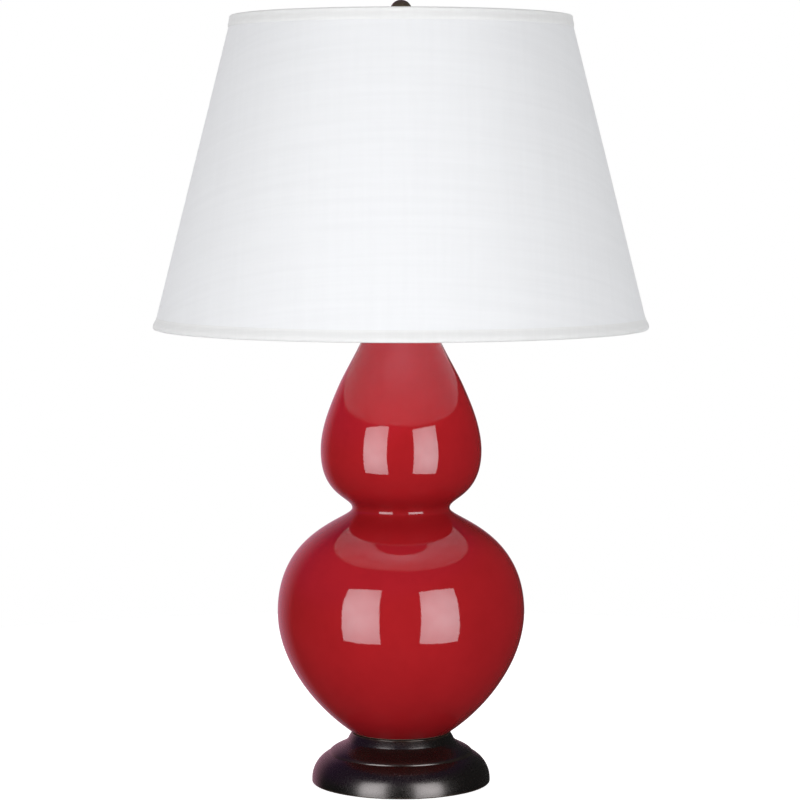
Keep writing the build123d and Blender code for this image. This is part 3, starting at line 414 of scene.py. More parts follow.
def finish(name, base, roughness, metallic=0.0, **sockets):
    """A material with its values on the surface shader's own sockets: (material, tree, shader)."""
    material = bpy.data.materials.new(name)
    material.use_nodes = True
    tree = material.node_tree
    shader = tree.nodes["Principled BSDF"]
    shader.inputs["Base Color"].default_value = rgba(base)
    shader.inputs["Roughness"].default_value = roughness
    shader.inputs["Metallic"].default_value = metallic
    for key, value in sockets.items():
        shader.inputs[key.replace("_", " ").title().replace("Ior", "IOR")].default_value = value
    material.diffuse_color = rgba(base)
    return material, tree, shader


def in_space(tree, scale=(1.0, 1.0, 1.0), source="Object"):
    """Coordinates on the piece, stretched by a scale."""
    where = node(tree, "ShaderNodeTexCoord").outputs[source]
    return node(tree, "ShaderNodeMapping", {"Vector": where, "Scale": scale}).outputs["Vector"]


def noise(tree, where, scale, detail=2.0, roughness=0.5):
    """Soft noise from 0 to 1."""
    inputs = {"Vector": where, "Scale": scale, "Detail": detail, "Roughness": roughness}
    return node(tree, "ShaderNodeTexNoise", inputs).outputs["Fac"]


def spread(tree, value, low, high, to_low=0.0, to_high=1.0, kind="SMOOTHSTEP"):
    """Maps low..high to another range, and stops at its ends."""
    inputs = {"Value": value, "From Min": low, "From Max": high, "To Min": to_low, "To Max": to_high}
    return node(tree, "ShaderNodeMapRange", inputs, interpolation_type=kind).outputs["Result"]


def worked(tree, operation, first, second=0.5, third=0.5):
    """One step of arithmetic."""
    made = node(tree, "ShaderNodeMath", operation=operation)
    for socket, value in zip(made.inputs, (first, second, third)):
        if isinstance(value, bpy.types.NodeSocket):
            tree.links.new(value, socket)
        else:
            socket.default_value = value
    return made.outputs[0]


def between(tree, share, first, second):
    """A colour between two, at a share of the way to the second."""
    made = node(tree, "ShaderNodeMix", data_type="RGBA")
    factor, a, b = made.inputs[0], made.inputs[6], made.inputs[7]
    for socket, value in ((factor, share), (a, first), (b, second)):
        if isinstance(value, bpy.types.NodeSocket):
            tree.links.new(value, socket)
        else:
            socket.default_value = value if socket is factor else rgba(value)
    return made.outputs[2]


def raised(tree, shader, height, depth, strength=1.0, under=None):
    """Bumps of a real depth in metres, over any finer ones."""
    inputs = {"Height": height, "Distance": depth, "Strength": strength}
    if under is not None:
        inputs["Normal"] = under
    made = node(tree, "ShaderNodeBump", inputs)
    tree.links.new(made.outputs["Normal"], shader.inputs["Normal"])
    return made.outputs["Normal"]


def join(tree, value, shader, socket):
    """Feeds one of the surface shader's sockets."""
    tree.links.new(value, shader.inputs[socket])


def toned(tree, shader, share, first, second):
    """Gives the surface a colour between two."""
    join(tree, between(tree, share, first, second), shader, "Base Color")


def lit(tone, gain, lift=0.0):
    """A lighter or darker tone, at most white."""
    return [min(1.0, gain * channel + lift) for channel in tone]


def stored(tree, name):
    """A number that the mesh holds at its points."""
    return node(tree, "ShaderNodeAttribute", attribute_name=name).outputs["Fac"]


# ---- finishes ------------------------------------------------------------
def red_glaze(gourd):
    """Deep red glaze: glassy, faintly uneven, darker where it pools and in a band of painted shade under
    the waist, bare clay under the foot.
    """
    material, tree, shader = finish("red_glaze", gourd.glaze, 0.035, IOR=1.5)
    where = in_space(tree)
    cloud = noise(tree, where, 14.0, 3.0)
    mottle = noise(tree, where, 95.0, 3.0)
    # pool_and_shade: glaze pooling above the foot, and under the waist pooling plus painted shade on the
    # lower bulb's shoulder
    pooled_and_shaded = stored(tree, "pool_and_shade")
    cloudy = spread(tree, cloud, 0.35, 0.68, 0.0, 0.34)
    mottled = spread(tree, mottle, 0.4, 0.7, 0.0, 0.12)
    depth = worked(tree, "ADD", worked(tree, "ADD", cloudy, mottled), pooled_and_shaded)
    red = between(tree, worked(tree, "MINIMUM", depth, 1.0), gourd.glaze, gourd.pooled_and_shaded_glaze)
    bare = stored(tree, "bare")
    toned(tree, shader, bare, red, gourd.biscuit)
    haze = spread(tree, noise(tree, where, 260.0, 2.0), 0.3, 0.75, 0.032, 0.060)
    join(tree, worked(tree, "MAXIMUM", haze, worked(tree, "MULTIPLY", bare, 0.75)), shader, "Roughness")
    fine = raised(tree, shader, noise(tree, where, 420.0, 1.0), 0.000012)
    raised(tree, shader, noise(tree, where, 75.0, 1.0), 0.00003, under=fine)
    return material


def bronze(name, tone, worn):
    """Dark bronze under a thin wax: soft sheen, brown cloudiness, warm metal where hands rub it."""
    wax = {"Coat_Weight": 0.05, "Coat_Roughness": 0.12}
    tint = (1.0, 0.83, 0.79, 1.0)
    material, tree, shader = finish(name, tone, 0.26, IOR=1.66, Specular_Tint=tint, **wax)
    where = in_space(tree)
    cloud = noise(tree, where, 32.0, 4.0, 0.6)
    grain = noise(tree, where, 520.0, 3.0, 0.65)
    rub = stored(tree, "wear")
    patchy = worked(tree, "MULTIPLY", rub, spread(tree, cloud, 0.3, 0.6, 0.45, 1.0))
    warm = worked(tree, "ADD", patchy, spread(tree, cloud, 0.5, 0.8, 0.0, 0.12))
    toned(tree, shader, worked(tree, "MINIMUM", warm, 1.0), tone, worn)
    dull = spread(tree, grain, 0.3, 0.7, 0.24, 0.28)
    join(tree, worked(tree, "SUBTRACT", dull, worked(tree, "MULTIPLY", rub, 0.06)), shader, "Roughness")
    raised(tree, shader, grain, 0.000008)
    return material


def metal(name, tone, roughness, streak=(1.0, 1.0, 1.0), stain=0.12):
    """Drawn or plated metal: fine streaks, a little tarnish, no two places quite alike.

    streak is how quickly the streaks change along each axis: they run along the lowest."""
    material, tree, shader = finish(name, tone, roughness, 1.0)
    streaks = noise(tree, in_space(tree, streak), 900.0, 3.0, 0.6)
    cloud = noise(tree, in_space(tree), 45.0, 3.0)
    dark = lit(tone, 0.62)
    toned(tree, shader, spread(tree, cloud, 0.4, 0.8, 0.0, stain), tone, dark)
    join(tree, spread(tree, streaks, 0.25, 0.75, 0.85 * roughness, 1.2 * roughness), shader, "Roughness")
    raised(tree, shader, streaks, 0.0000025)
    return material


def moulded(name, tone, roughness, pebble=0.00001, scale=1400.0):
    """Moulded plastic, rubber or glass: a fine skin texture and a slight change of tone."""
    material, tree, shader = finish(name, tone, roughness)
    where = in_space(tree)
    light = lit(tone, 1.25, 0.004)
    toned(tree, shader, noise(tree, where, 60.0, 3.0), tone, light)
    fine = noise(tree, where, scale, 2.0)
    dullest = min(1.0, 1.15 * roughness)
    join(tree, spread(tree, fine, 0.3, 0.7, 0.85 * roughness, dullest), shader, "Roughness")
    raised(tree, shader, fine, pebble)
    return material


def pressed_fibre(name, tone, roughness=0.85):
    """Board, card or felt: tangled fibres in two tones."""
    material, tree, shader = finish(name, tone, roughness)
    where = in_space(tree)
    fibre = noise(tree, in_space(tree, (1.0, 0.25, 1.0)), 1500.0, 4.0, 0.7)
    cross = noise(tree, in_space(tree, (0.25, 1.0, 1.0)), 1500.0, 4.0, 0.7)
    tangle = worked(tree, "MAXIMUM", fibre, cross)
    pale = lit(tone, 1.7, 0.01)
    mixed = worked(tree, "MULTIPLY", tangle, spread(tree, noise(tree, where, 90.0), 0.2, 0.8, 0.6, 1.1))
    toned(tree, shader, spread(tree, mixed, 0.35, 0.7), tone, pale)
    raised(tree, shader, tangle, 0.00025)
    return material


def cast_iron():
    """Sand-cast iron, grey and grainy."""
    material, tree, shader = finish("cast_iron", (0.10, 0.10, 0.105), 0.6, 0.7)
    grain = noise(tree, in_space(tree), 700.0, 4.0, 0.7)
    toned(tree, shader, spread(tree, grain, 0.35, 0.7), (0.07, 0.07, 0.073), (0.17, 0.165, 0.16))
    raised(tree, shader, grain, 0.0002)
    return material


def threads(tree, across, along, pitch):
    """Height of a plain weave: the product of two sines, which puts one thread over the other in turn."""
    first = worked(tree, "SINE", worked(tree, "MULTIPLY", across, math.tau / pitch))
    second = worked(tree, "SINE", worked(tree, "MULTIPLY", along, math.tau / pitch))
    return worked(tree, "MULTIPLY", first, second)


def woven(name, tone, pitch, slub, contrast):
    """White plain weave on the flat pattern of the cloth, with thicker and thinner threads."""
    material, tree, shader = finish(name, tone, 0.82, Sheen_Weight=0.12, Sheen_Roughness=0.5)
    flat = node(tree, "ShaderNodeTexCoord").outputs["UV"]
    parts = node(tree, "ShaderNodeSeparateXYZ", {"Vector": flat})
    weave = threads(tree, parts.outputs["X"], parts.outputs["Y"], pitch)
    weft = noise(tree, in_space(tree, (0.035, 1.0, 1.0), "UV"), slub, 3.0, 0.6)
    warp = noise(tree, in_space(tree, (1.0, 0.035, 1.0), "UV"), slub, 3.0, 0.6)
    uneven = worked(tree, "ADD", worked(tree, "MULTIPLY", weft, 0.6), worked(tree, "MULTIPLY", warp, 0.4))
    dim, pale = lit(tone, 1.0 - contrast), lit(tone, 1.0 + 0.4 * contrast)
    toned(tree, shader, spread(tree, uneven, 0.32, 0.68), dim, pale)
    coarse = raised(tree, shader, uneven, 0.00012)
    raised(tree, shader, weave, 0.00004, 0.6, under=coarse)
    return material


def frosted_glass(fitting):
    """Acid-etched white bulb glass."""
    satin = {"IOR": 1.5, "Coat_Weight": 0.2, "Coat_Roughness": 0.25}
    material, tree, shader = finish("frosted_glass", fitting.frost, 0.42, **satin)
    where = in_space(tree)
    veil = noise(tree, where, 28.0, 2.0)
    cool = lit(fitting.frost, 0.96)
    toned(tree, shader, veil, fitting.frost, cool)
    raised(tree, shader, noise(tree, where, 1800.0, 2.0), 0.00001)
    return material


# ---- the ceramic body ----------------------------------------------------
def gourd_outline(gourd):
    """The ceramic's outer line: five cubic curves, upright at belly, waist, crown and neck."""
    foot_z = foot_of("gourd_body")
    foot = np.array((gourd.foot_radius, foot_z))
    belly, waist, crown, shoulder = (
        np.array((getattr(gourd, f"{part}_radius"), foot_z + getattr(gourd, f"{part}_rise")))
        for part in ("belly", "waist", "crown", "shoulder")
    )
    neck = np.array((gourd.neck_radius, top_of("gourd_body")))
    up = np.array((0.0, 1.0))
    out = np.array((math.cos(gourd.foot_lean), math.sin(gourd.foot_lean)))
    lean = np.array((-math.sin(gourd.shoulder_lean), math.cos(gourd.shoulder_lean)))
    along = lean * gourd.shoulder_pull
    return joined(
        curve(foot, foot + out * gourd.foot_pull, belly - up * gourd.belly_pull_low, belly, 200),
        curve(belly, belly + up * gourd.belly_pull_high, waist - up * gourd.waist_pull, waist, 200),
        curve(waist, waist + up * gourd.waist_pull, crown - up * gourd.crown_pull_low, crown, 200),
        curve(crown, crown + up * gourd.crown_pull_high, shoulder - along, shoulder, 200),
        curve(shoulder, shoulder + along, neck - up * gourd.neck_pull, neck, 200),
    )


GLAZE_STEP = 0.0016       # between rings of the outer face
HIDDEN_STEP = 0.008       # between rings of the face that can't be seen
FOOT_ROUND = 0.0008       # rounding of the foot's edge
FLOOR_EXTRA = 0.002       # how much thicker the floor is than the wall
POOL_AND_SHADE_DROP = 0.017         # from the waist down to the band of pooled glaze and painted shade
POOL_AND_SHADE_REACH = 0.013        # how far that band spreads up and down
HEEL_REACH = 0.012        # how far the glaze thickens above the foot
BARE_FROM, BARE_TO = 0.0004, 0.0009     # wiped clean of glaze under this height
GOURD_SIDES = 192         # steps round it


def gourd_profile(gourd):
    """Closed section of the body: up the outside, over the mouth, down the inside, along the floor."""
    outer = even(gourd_outline(gourd), GLAZE_STEP)
    inner = even(set_in(gourd_outline(gourd), gourd.wall), HIDDEN_STEP)[::-1]
    floor = foot_of("gourd_body") + gourd.wall + FLOOR_EXTRA
    inner = inner[inner[:, 1] > floor]
    mouth = arc(outer[-1] - (gourd.wall / 2, gourd.wall / 2), gourd.wall / 2, 0.0, math.pi, 13)
    outer = outer[outer[:, 1] < mouth[0, 1]]
    edge = bend((gourd.foot_radius - FOOT_ROUND, outer[0, 1]), outer[0], outer[1], 6)
    floor_line = [(inner[-1, 0], floor), (gourd.hole_radius, floor), (gourd.hole_radius, outer[0, 1])]
    under = [(gourd.hole_radius, outer[0, 1]), tuple(edge[0])]
    floor_line, under = even(floor_line, HIDDEN_STEP / 2), even(under, HIDDEN_STEP / 2)
    return joined(under[1:], edge, outer[2:], mouth, inner, floor_line)


def thrown(gourd):
    """Unevenness of a thrown pot: a few slow waves round it and up it."""

    def swell(turn, radius, height):
        waves = (
            np.sin(3 * turn + 0.6 + 21 * height)
            + 0.7 * np.sin(5 * turn + 2.1 - 37 * height)
            + 0.5 * np.sin(11 * turn + 4.0 + 90 * height)
            + 0.4 * np.sin(7 * turn + 1.3 + 150 * height)
        )
        seen = smooth_step(radius, gourd.neck_radius, gourd.waist_radius)
        return gourd.unevenness * waves * seen

    return swell


def glazed_body(gourd):
    """The double gourd, with numbers for where the glaze pools, for painted shade on the lower bulb's
    shoulder under the waist, and for where the clay is bare.
    """
    outline = gourd_profile(gourd)
    foot = foot_of("gourd_body")
    rise = outline[:, 1] - foot
    # Band under the waist: partly glaze pooling, partly painted shade where the upper bulb shades the
    # lower bulb's shoulder
    below_waist = np.exp(-(((rise - gourd.waist_rise + POOL_AND_SHADE_DROP) / POOL_AND_SHADE_REACH) ** 2))
    heel = np.exp(-rise / HEEL_REACH)
    bare = smooth_step(-rise, -BARE_TO, -BARE_FROM)
    values = {"pool_and_shade": 0.95 * below_waist + 0.4 * heel, "bare": bare}
    return turned("glazed_body", outline, GOURD_SIDES, swell=thrown(gourd), values=values, crease=50.0)


class LAMP_OT_body(bpy.types.Operator):
    """Turn the double gourd and glaze it"""

    bl_idname = "lamp.body"
    bl_label = "Glazed body"

    def execute(self, context):
        gourd = context.scene.gourd
        mesh = glazed_body(gourd)
        placed("glazed_body", mesh, "lamp", "red_glaze", red_glaze(gourd), "gourd_body")
        return {"FINISHED"}


# ---- the bronze base -----------------------------------------------------
COLLAR_ROUND = 0.0004     # rounding of the collar's top edge
BASE_STEP = 0.0004        # between rings of the face that shows
PLATE_STEP = 0.004        # between rings under the ceramic
ROOF_STEP = 0.003         # between rings of the hollow's roof
CAST_WAVE = 0.00004       # height of the casting's slight waves
BASE_SIDES = 256          # steps round it


def base_outline(base, foot_radius):
    """The casting's outer line, from under the rim to the middle of its top."""
    rim_r = radius_of("base_foot")
    rim_z = foot_of("base_foot")
    top_z = top_of("base_foot")
    cover_z = top_of("bottom_cover")
    edge = base.rim_edge
    collar_r = foot_radius + base.collar_lip
    collar_foot = np.array((collar_r + base.collar_flare, base.tier_top + base.collar_foot_rise))
    tier_top = np.array((collar_foot[0] + base.tier_step, base.tier_top))
    slope = np.array((math.cos(base.tier_slope), -math.sin(base.tier_slope)))
    rim = arc((rim_r - edge, rim_z + edge), edge, -math.pi / 2, 0.0, 12)
    dome = arc((rim_r - base.dome_radius, cover_z), base.dome_radius, 0.0, base.dome_sweep, 90)
    tier_foot = dome[-1] + (-base.tier_set_back, base.tier_foot_rise)
    low_pull = tier_foot + (0.0, base.tier_pull_low)
    tier = curve(tier_foot, low_pull, tier_top + slope * base.tier_pull_high, tier_top, 60)
    cove = bend(tier_top, tier_top - slope * base.cove_pull, collar_foot, 16)
    waist = collar_foot + (-base.collar_flare / 4, base.collar_pull)
    collar = bend(collar_foot, waist, (collar_r, top_z - COLLAR_ROUND), 30)
    shoulder = bend(collar[-1], (collar_r, top_z), (collar_r - COLLAR_ROUND, top_z), 6)
    return joined(rim, dome, tier, cove, collar, shoulder)


def base_profile(base, foot_radius):
    """Closed section of the casting: outside, top plate, pipe hole, and the hollow underneath."""
    outer = even(base_outline(base, foot_radius), BASE_STEP)
    hole = base.pipe_hole
    top_z = top_of("base_foot")
    plate_z = top_z - base.plate
    rim_r = radius_of("base_foot")
    cover_z = top_of("bottom_cover")
    plate = even([(outer[-1, 0], top_z), (hole, top_z), (hole, plate_z)], PLATE_STEP)
    throat = foot_radius + base.collar_lip - base.wall
    neck = (throat + base.collar_flare, base.tier_top - base.wall)
    shoulder = (throat + base.collar_flare + base.tier_step + base.wall / 2, base.tier_top - 2 * base.wall)
    roof = even([(hole, plate_z), (throat, plate_z), neck, shoulder], ROOF_STEP)
    dome = arc((rim_r - base.dome_radius, cover_z), base.dome_radius - base.wall, base.dome_sweep, 0.0, 20)
    mouth = [(rim_r - base.wall, cover_z), (rim_r - base.wall, foot_of("base_foot"))]
    return joined(outer, plate[1:], roof[1:], dome, mouth), len(outer)


def wear_along(outline, width=0.0011):
    """How much a line's convex corners get rubbed: its turn to the left for each step, blurred."""
    steps = np.diff(outline, axis=0)
    heading = np.unwrap(np.arctan2(steps[:, 1], steps[:, 0]))
    turn = np.zeros(len(outline))
    turn[1:-1] = np.clip(np.diff(heading), 0.0, None)
    way = travelled(outline)
    reach = np.exp(-(((way[:, None] - way[None, :]) / width) ** 2))
    least, most = 0.12, 0.82
    return np.clip((reach @ turn - least) / (most - least), 0.0, 1.0)


def casting(turn, radius, height):
    """Slight waves that a cast and hand-filed surface keeps."""
    return CAST_WAVE * (np.sin(4 * turn + 70 * height) + np.sin(9 * turn - 160 * height + 1.0))


INLET_FIT = 0.0002        # room round the bushing
BUSHING_LIP = 0.0012      # how far its flange stands out from its sleeve
BUSHING_FLANGE = 0.0016   # how thick the flange is
CUT_PAST = 0.001          # how far the cut goes past the sleeve's inner end
CUT_OUT_TO = 0.12         # distance from the axis that is well outside the base


def inlet_cutter():
    """Stepped plug about Y: the bushing's sleeve and its flange, a little larger."""
    low, high = span("cord_bushing")
    level = (low[2] + high[2]) / 2
    flange = (high[2] - low[2]) / 2 + INLET_FIT
    sleeve = flange - BUSHING_LIP
    seat = high[1] - BUSHING_FLANGE
    inner_end = low[1] - CUT_PAST
    inner = [(0.0, inner_end), (sleeve, inner_end), (sleeve, seat)]
    outer = [(flange, seat), (flange, CUT_OUT_TO), (0.0, CUT_OUT_TO)]
    mesh = turned("inlet_cutter", np.array(inner + outer), 48, closed=False)
    mesh.transform(Matrix.Translation((0.0, 0.0, level)) @ Matrix.Rotation(-math.pi / 2, 4, "X"))
    return mesh


def cut(mesh, cutter):
    """The mesh with the cutter's volume taken out."""
    whole, tool = added("whole", mesh), added("tool", cutter)
    step = whole.modifiers.new("cut", "BOOLEAN")
    step.object = tool
    step.operation = "DIFFERENCE"
    step.solver = "EXACT"
    bpy.context.view_layer.update()
    made = bpy.data.meshes.new_from_object(whole.evaluated_get(bpy.context.evaluated_depsgraph_get()))
    bpy.data.objects.remove(whole)
    bpy.data.objects.remove(tool)
    made.set_sharp_from_angle(angle=math.radians(CREASE))
    return made


class LAMP_OT_base(bpy.types.Operator):
    """Cast the stepped base, cut the lead's inlet and give it the bronze finish"""

    bl_idname = "lamp.base"
    bl_label = "Bronze base"

    def execute(self, context):
        base = context.scene.lamp_base
        outline, seen = base_profile(base, context.scene.gourd.foot_radius)
        wear = np.zeros(len(outline))
        wear[:seen] = wear_along(outline[:seen])
        mesh = turned("bronze_base", outline, BASE_SIDES, swell=casting, values={"wear": wear})
        material = bronze("bronze", base.bronze, base.worn_bronze)
        placed("bronze_base", cut(mesh, inlet_cutter()), "lamp", "bronze", material, "base_foot")
        dressed(bronze("bronze_cap", base.bronze, base.worn_bronze), "vase_cap", "neck_tube")
        return {"FINISHED"}


# ---- the shade -----------------------------------------------------------
class Cone:
    """The shade's cone, read from the cloth's node, and its flat pattern."""

    def __init__(self):
        self.foot_z = foot_of("shade_fabric")
        self.top_z = top_of("shade_fabric")
        self.foot_r = radius_of("shade_fabric")
        self.edge_top = top_of("top_trim")
        self.edge_foot = foot_of("bottom_trim")
        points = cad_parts["shade_fabric"].data.vertices
        place = np.zeros(len(points) * 3)
        points.foreach_get("co", place)
        place = place.reshape(-1, 3)
        upper = place[place[:, 2] > self.top_z - 1e-4]
        self.top_r = float(np.linalg.norm(upper[:, :2], axis=1).max())
        self.slope = (self.top_r - self.foot_r) / (self.top_z - self.foot_z)
        self.lean = math.atan(-self.slope)

    def radius(self, z):
        """Radius of the cloth's outer face at a height."""
        return self.foot_r + self.slope * (z - self.foot_z)

    def flat(self, turn, radius):
        """A point on the unrolled cone: its distance from the tip, at its turn times the lean's sine."""
        reach = radius / math.sin(self.lean)
        swing = (turn - math.tau / 2) * math.sin(self.lean)
        return np.stack([reach * np.sin(swing), -reach * np.cos(swing)], axis=2)


SHADE_SIDES = 320         # steps round it
SEAM_SIDES = 48           # extra lines beside the seam
LAP_EDGE = 0.0003         # half the width of the lap's folded edge
SLOW_RIPPLE, QUICK_RIPPLE = 0.00012, 0.00008     # heights of the cloth's faint waves


def shade_turns(lap_angle):
    """Angles round the shade from the seam at the back, closer together near it."""
    near = np.linspace(-1.5 * lap_angle, 2.5 * lap_angle, SEAM_SIDES, endpoint=False)
    far = np.linspace(2.5 * lap_angle, math.tau - 1.5 * lap_angle, SHADE_SIDES, endpoint=False)
    return np.concatenate([near, far])


def lap(shade, turn, radius):
    """How far the overlapped cloth stands out: a sharp edge on one side and a slow fall on the other."""
    along = turn * radius
    away = np.where(along > math.pi * radius, along - math.tau * radius, along)
    fold = smooth_step(away, -LAP_EDGE, LAP_EDGE)
    fall = 1 - smooth_step(away, shade.lap_width, 2 * shade.lap_width)
    return shade.lap_rise * fold * fall


def ripple(turn, height):
    """Faint slackness of cloth on its backing: a few slow sines round it and up it."""
    slow = np.sin(9 * turn + 0.7) * np.sin(17 * height)
    quick = np.sin(23 * turn + 2.0 + 9 * height)
    return SLOW_RIPPLE * slow + QUICK_RIPPLE * quick


def around_shade(name, shade, outline, outside, cone):
    """A closed section carried round the shade.  Points marked outside follow the lap and the ripple."""
    lap_angle = shade.lap_width / cone.foot_r
    turn = shade_turns(lap_angle)[:, None]
    radius, height = outline[None, :, 0], outline[None, :, 1]
    outward = lap(shade, turn, radius) + ripple(turn, height)
    radius = radius + outward * outside[None, :]
    points = carried_round(turn + math.pi / 2, radius, height)
    closed = np.vstack([outline, outline[:1]])
    all_turns = np.append(turn[:, 0], turn[0, 0] + math.tau)[:, None]
    uv = cone.flat(all_turns, np.broadcast_to(closed[None, :, 0], (len(all_turns), len(closed))))
    return skin(name, points, uv, closed=True)


def cone_section(cone, inset, thickness, steps):
    """Thin closed section along the cone, and which of its points face outwards."""
    heights = np.linspace(cone.foot_z, cone.top_z, steps)
    outer = np.stack([cone.radius(heights) - inset, heights], axis=1)
    inner = outer[::-1] - (thickness, 0.0)
    return np.vstack([outer, inner]), np.r_[np.ones(steps), np.zeros(steps)]


class LAMP_OT_cloth(bpy.types.Operator):
    """Wrap the shade's cloth, with its seam at the back"""

    bl_idname = "lamp.cloth"
    bl_label = "Shade cloth"

    def execute(self, context):
        shade = context.scene.lamp_shade
        cone = Cone()
        outline, outside = cone_section(cone, 0.0, shade.skin, 60)
        mesh = around_shade("shade_cloth", shade, outline, outside, cone)
        material = woven("shade_cloth", shade.cloth, shade.thread, 160.0, 0.022)
        cloth = placed("shade_cloth", mesh, "shade", "shade_cloth", material, "shade_fabric")
        return {"FINISHED"}


class LAMP_OT_lining(bpy.types.Operator):
    """Line the shade with white styrene"""

    bl_idname = "lamp.lining"
    bl_label = "Shade lining"

    def execute(self, context):
        shade = context.scene.lamp_shade
        cone = Cone()
        outline, outside = cone_section(cone, shade.skin + shade.glue_gap, shade.lining, 24)
        mesh = around_shade("shade_lining", shade, outline, 0.0 * outside, cone)
        material = moulded("styrene", shade.lining_colour, 0.55, 0.00002, 500.0)
        placed("shade_lining", mesh, "shade", "styrene", material, "shade_liner")
        return {"FINISHED"}


TAPE_LIP = 0.00034        # how far the tape's far edge stands off the cloth
LIP_PULL = (0.00030, 0.0001)    # off the cloth and along it: rounds that edge
LIP_DEPTH = 0.0005        # how much of the tape the rounding takes
TAPE_ROLL = 0.0024        # height of the roll at the shade's edge
TAPE_PULL = 0.0035        # how far above the roll the face starts to bulge
TAPE_FOLD = 0.0020        # how far in the roll reaches along the edge
HEM_ROUND = (0.0022, 0.0026)    # width and height of the inner rounding


def tape_section(cone, shade, edge_z, inward, ring_r, bulge):
    """Closed section of a trim: down the face, round the edge and up inside.

    inward is +1 where the shade lies above the edge and -1 where it lies below it."""
    gap = shade.glue_gap
    far_z = edge_z + inward * shade.trim_width
    face_r = cone.radius(far_z) + gap
    near_z = edge_z + inward * TAPE_ROLL
    near_r = cone.radius(near_z) + gap + bulge
    inner_r = ring_r - shade.ring_wire - gap
    back_r = inner_r - 0.6 * shade.trim_skin
    tuck_z = edge_z + inward * (shade.trim_tuck + shade.trim_skin + gap)
    roof_z = edge_z + inward * shade.trim_skin
    roll_r = near_r + 0.7 * shade.trim_skin
    lip_r = face_r + TAPE_LIP
    lip_pull = (face_r + LIP_PULL[0], far_z + inward * LIP_PULL[1])
    far_edge = bend((face_r, far_z), lip_pull, (lip_r, far_z - inward * LIP_DEPTH), 7)
    face = curve(
        far_edge[-1],
        (lip_r + 0.6 * bulge, far_z - inward * 0.3 * shade.trim_width),
        (roll_r, near_z + inward * TAPE_PULL),
        (roll_r, near_z),
        36,
    )
    shoulder = bend((roll_r, near_z), (roll_r, edge_z), (near_r - TAPE_FOLD, edge_z), 16)
    hem_end = (back_r, edge_z + inward * HEM_ROUND[1])
    hem = bend((back_r + HEM_ROUND[0], edge_z), (back_r, edge_z), hem_end, 12)
    roof_out = (cone.radius(roof_z) + gap, roof_z)
    near_in = (cone.radius(near_z) + gap, near_z)
    rest = [(back_r, tuck_z), (inner_r, tuck_z), (inner_r, roof_z), roof_out, near_in]
    section = joined(far_edge, face, shoulder, hem, rest)
    outside = np.zeros(len(section))
    outside[: len(far_edge) + len(face) + 8] = 1.0
    return section[::-1], outside[::-1]


class LAMP_OT_trims(bpy.types.Operator):
    """Fold the tapes over the shade's two edges"""

    bl_idname = "lamp.trims"
    bl_label = "Shade trims"

    def execute(self, context):
        shade = context.scene.lamp_shade
        cone = Cone()
        material = woven("trim_tape", shade.tape, 0.0006, 220.0, 0.03)
        edges = (
            ("top", cone.edge_top, -1, "top_ring", 0.0010),
            ("bottom", cone.edge_foot, 1, "bottom_ring", 0.0009),
        )
        for side, edge_z, inward, ring, bulge in edges:
            ring_r = radius_of(ring) - shade.ring_wire
            section, outside = tape_section(cone, shade, edge_z, inward, ring_r, bulge)
            mesh = around_shade(f"{side}_tape", shade, section, outside, cone)
            placed(f"{side}_tape", mesh, "shade", "trim_tape", material, f"{side}_trim")
        return {"FINISHED"}


# ---- fittings ------------------------------------------------------------
FINIAL_EDGE = 0.0006      # rounding of the finial's foot
FINIAL_STEP = 0.0020      # height of that foot
FINIAL_COVE = 0.0014      # height of the hollow over it
FINIAL_RING = 0.0004      # between rings


def finial_outline(fitting):
    """Ball on a short hollowed neck and a round-edged foot."""
    foot_z = foot_of("finial")
    ball = fitting.finial_radius
    neck_r = fitting.finial_neck
    rim_r = fitting.finial_foot - FINIAL_EDGE
    step_z = foot_z + FINIAL_STEP
    meet = math.acos(neck_r / ball)
    edge = arc((rim_r, foot_z + FINIAL_EDGE), FINIAL_EDGE, -math.pi / 2, math.pi / 2, 12)
    neck = bend((rim_r, step_z), (neck_r, step_z), (neck_r, step_z + FINIAL_COVE), 12)
    sphere = arc((0.0, top_of("finial") - ball), ball, -meet, math.pi / 2, 70)
    return joined([(0.0, foot_z)], edge, neck, sphere)


class LAMP_OT_finial(bpy.types.Operator):
    """Turn the ball finial"""

    bl_idname = "lamp.finial"
    bl_label = "Finial"

    def execute(self, context):
        fitting = context.scene.lamp_fittings
        outline = even(finial_outline(fitting), FINIAL_RING)
        outline[-1, 0] = 0.0
        mesh = turned("finial_ball", outline, 128, closed=False, values={"wear": wear_along(outline)})
        material = bronze("bronze_finial", fitting.finial_bronze, fitting.rubbed_bronze)
        placed("finial_ball", mesh, "finial", "bronze", material, "finial")
        return {"FINISHED"}


BULB_TUCK = (0.0006, 0.001)     # out and up from the throat: where the glass leaves the cap


def bulb_outline(fitting):
    """The bulb's glass as a closed section: out of the cap, round the crown, and back inside."""
    foot_z = foot_of("bulb_glass")
    cap_z = top_of("bulb_cap")
    wide = fitting.bulb_radius
    centre = top_of("bulb_glass") - wide
    throat = fitting.bulb_throat
    neck = np.array((fitting.bulb_neck, cap_z + fitting.bulb_neck_rise))
    rise = centre - neck[1]
    leave = (throat + BULB_TUCK[0], cap_z + BULB_TUCK[1])
    tuck = curve((throat, foot_z), (throat, cap_z), leave, neck, 16)
    flare = curve(neck, neck + (0.001, 0.33 * rise), (wide, centre - 0.38 * rise), (wide, centre), 70)
    crown = arc((0.0, centre), wide, 0.0, math.pi / 2, 60)
    outer = joined(tuck, flare, crown)
    inner = set_in(outer, fitting.bulb_skin)[::-1]
    outer[-1, 0] = inner[0, 0] = 0.0
    return np.vstack([outer, inner])


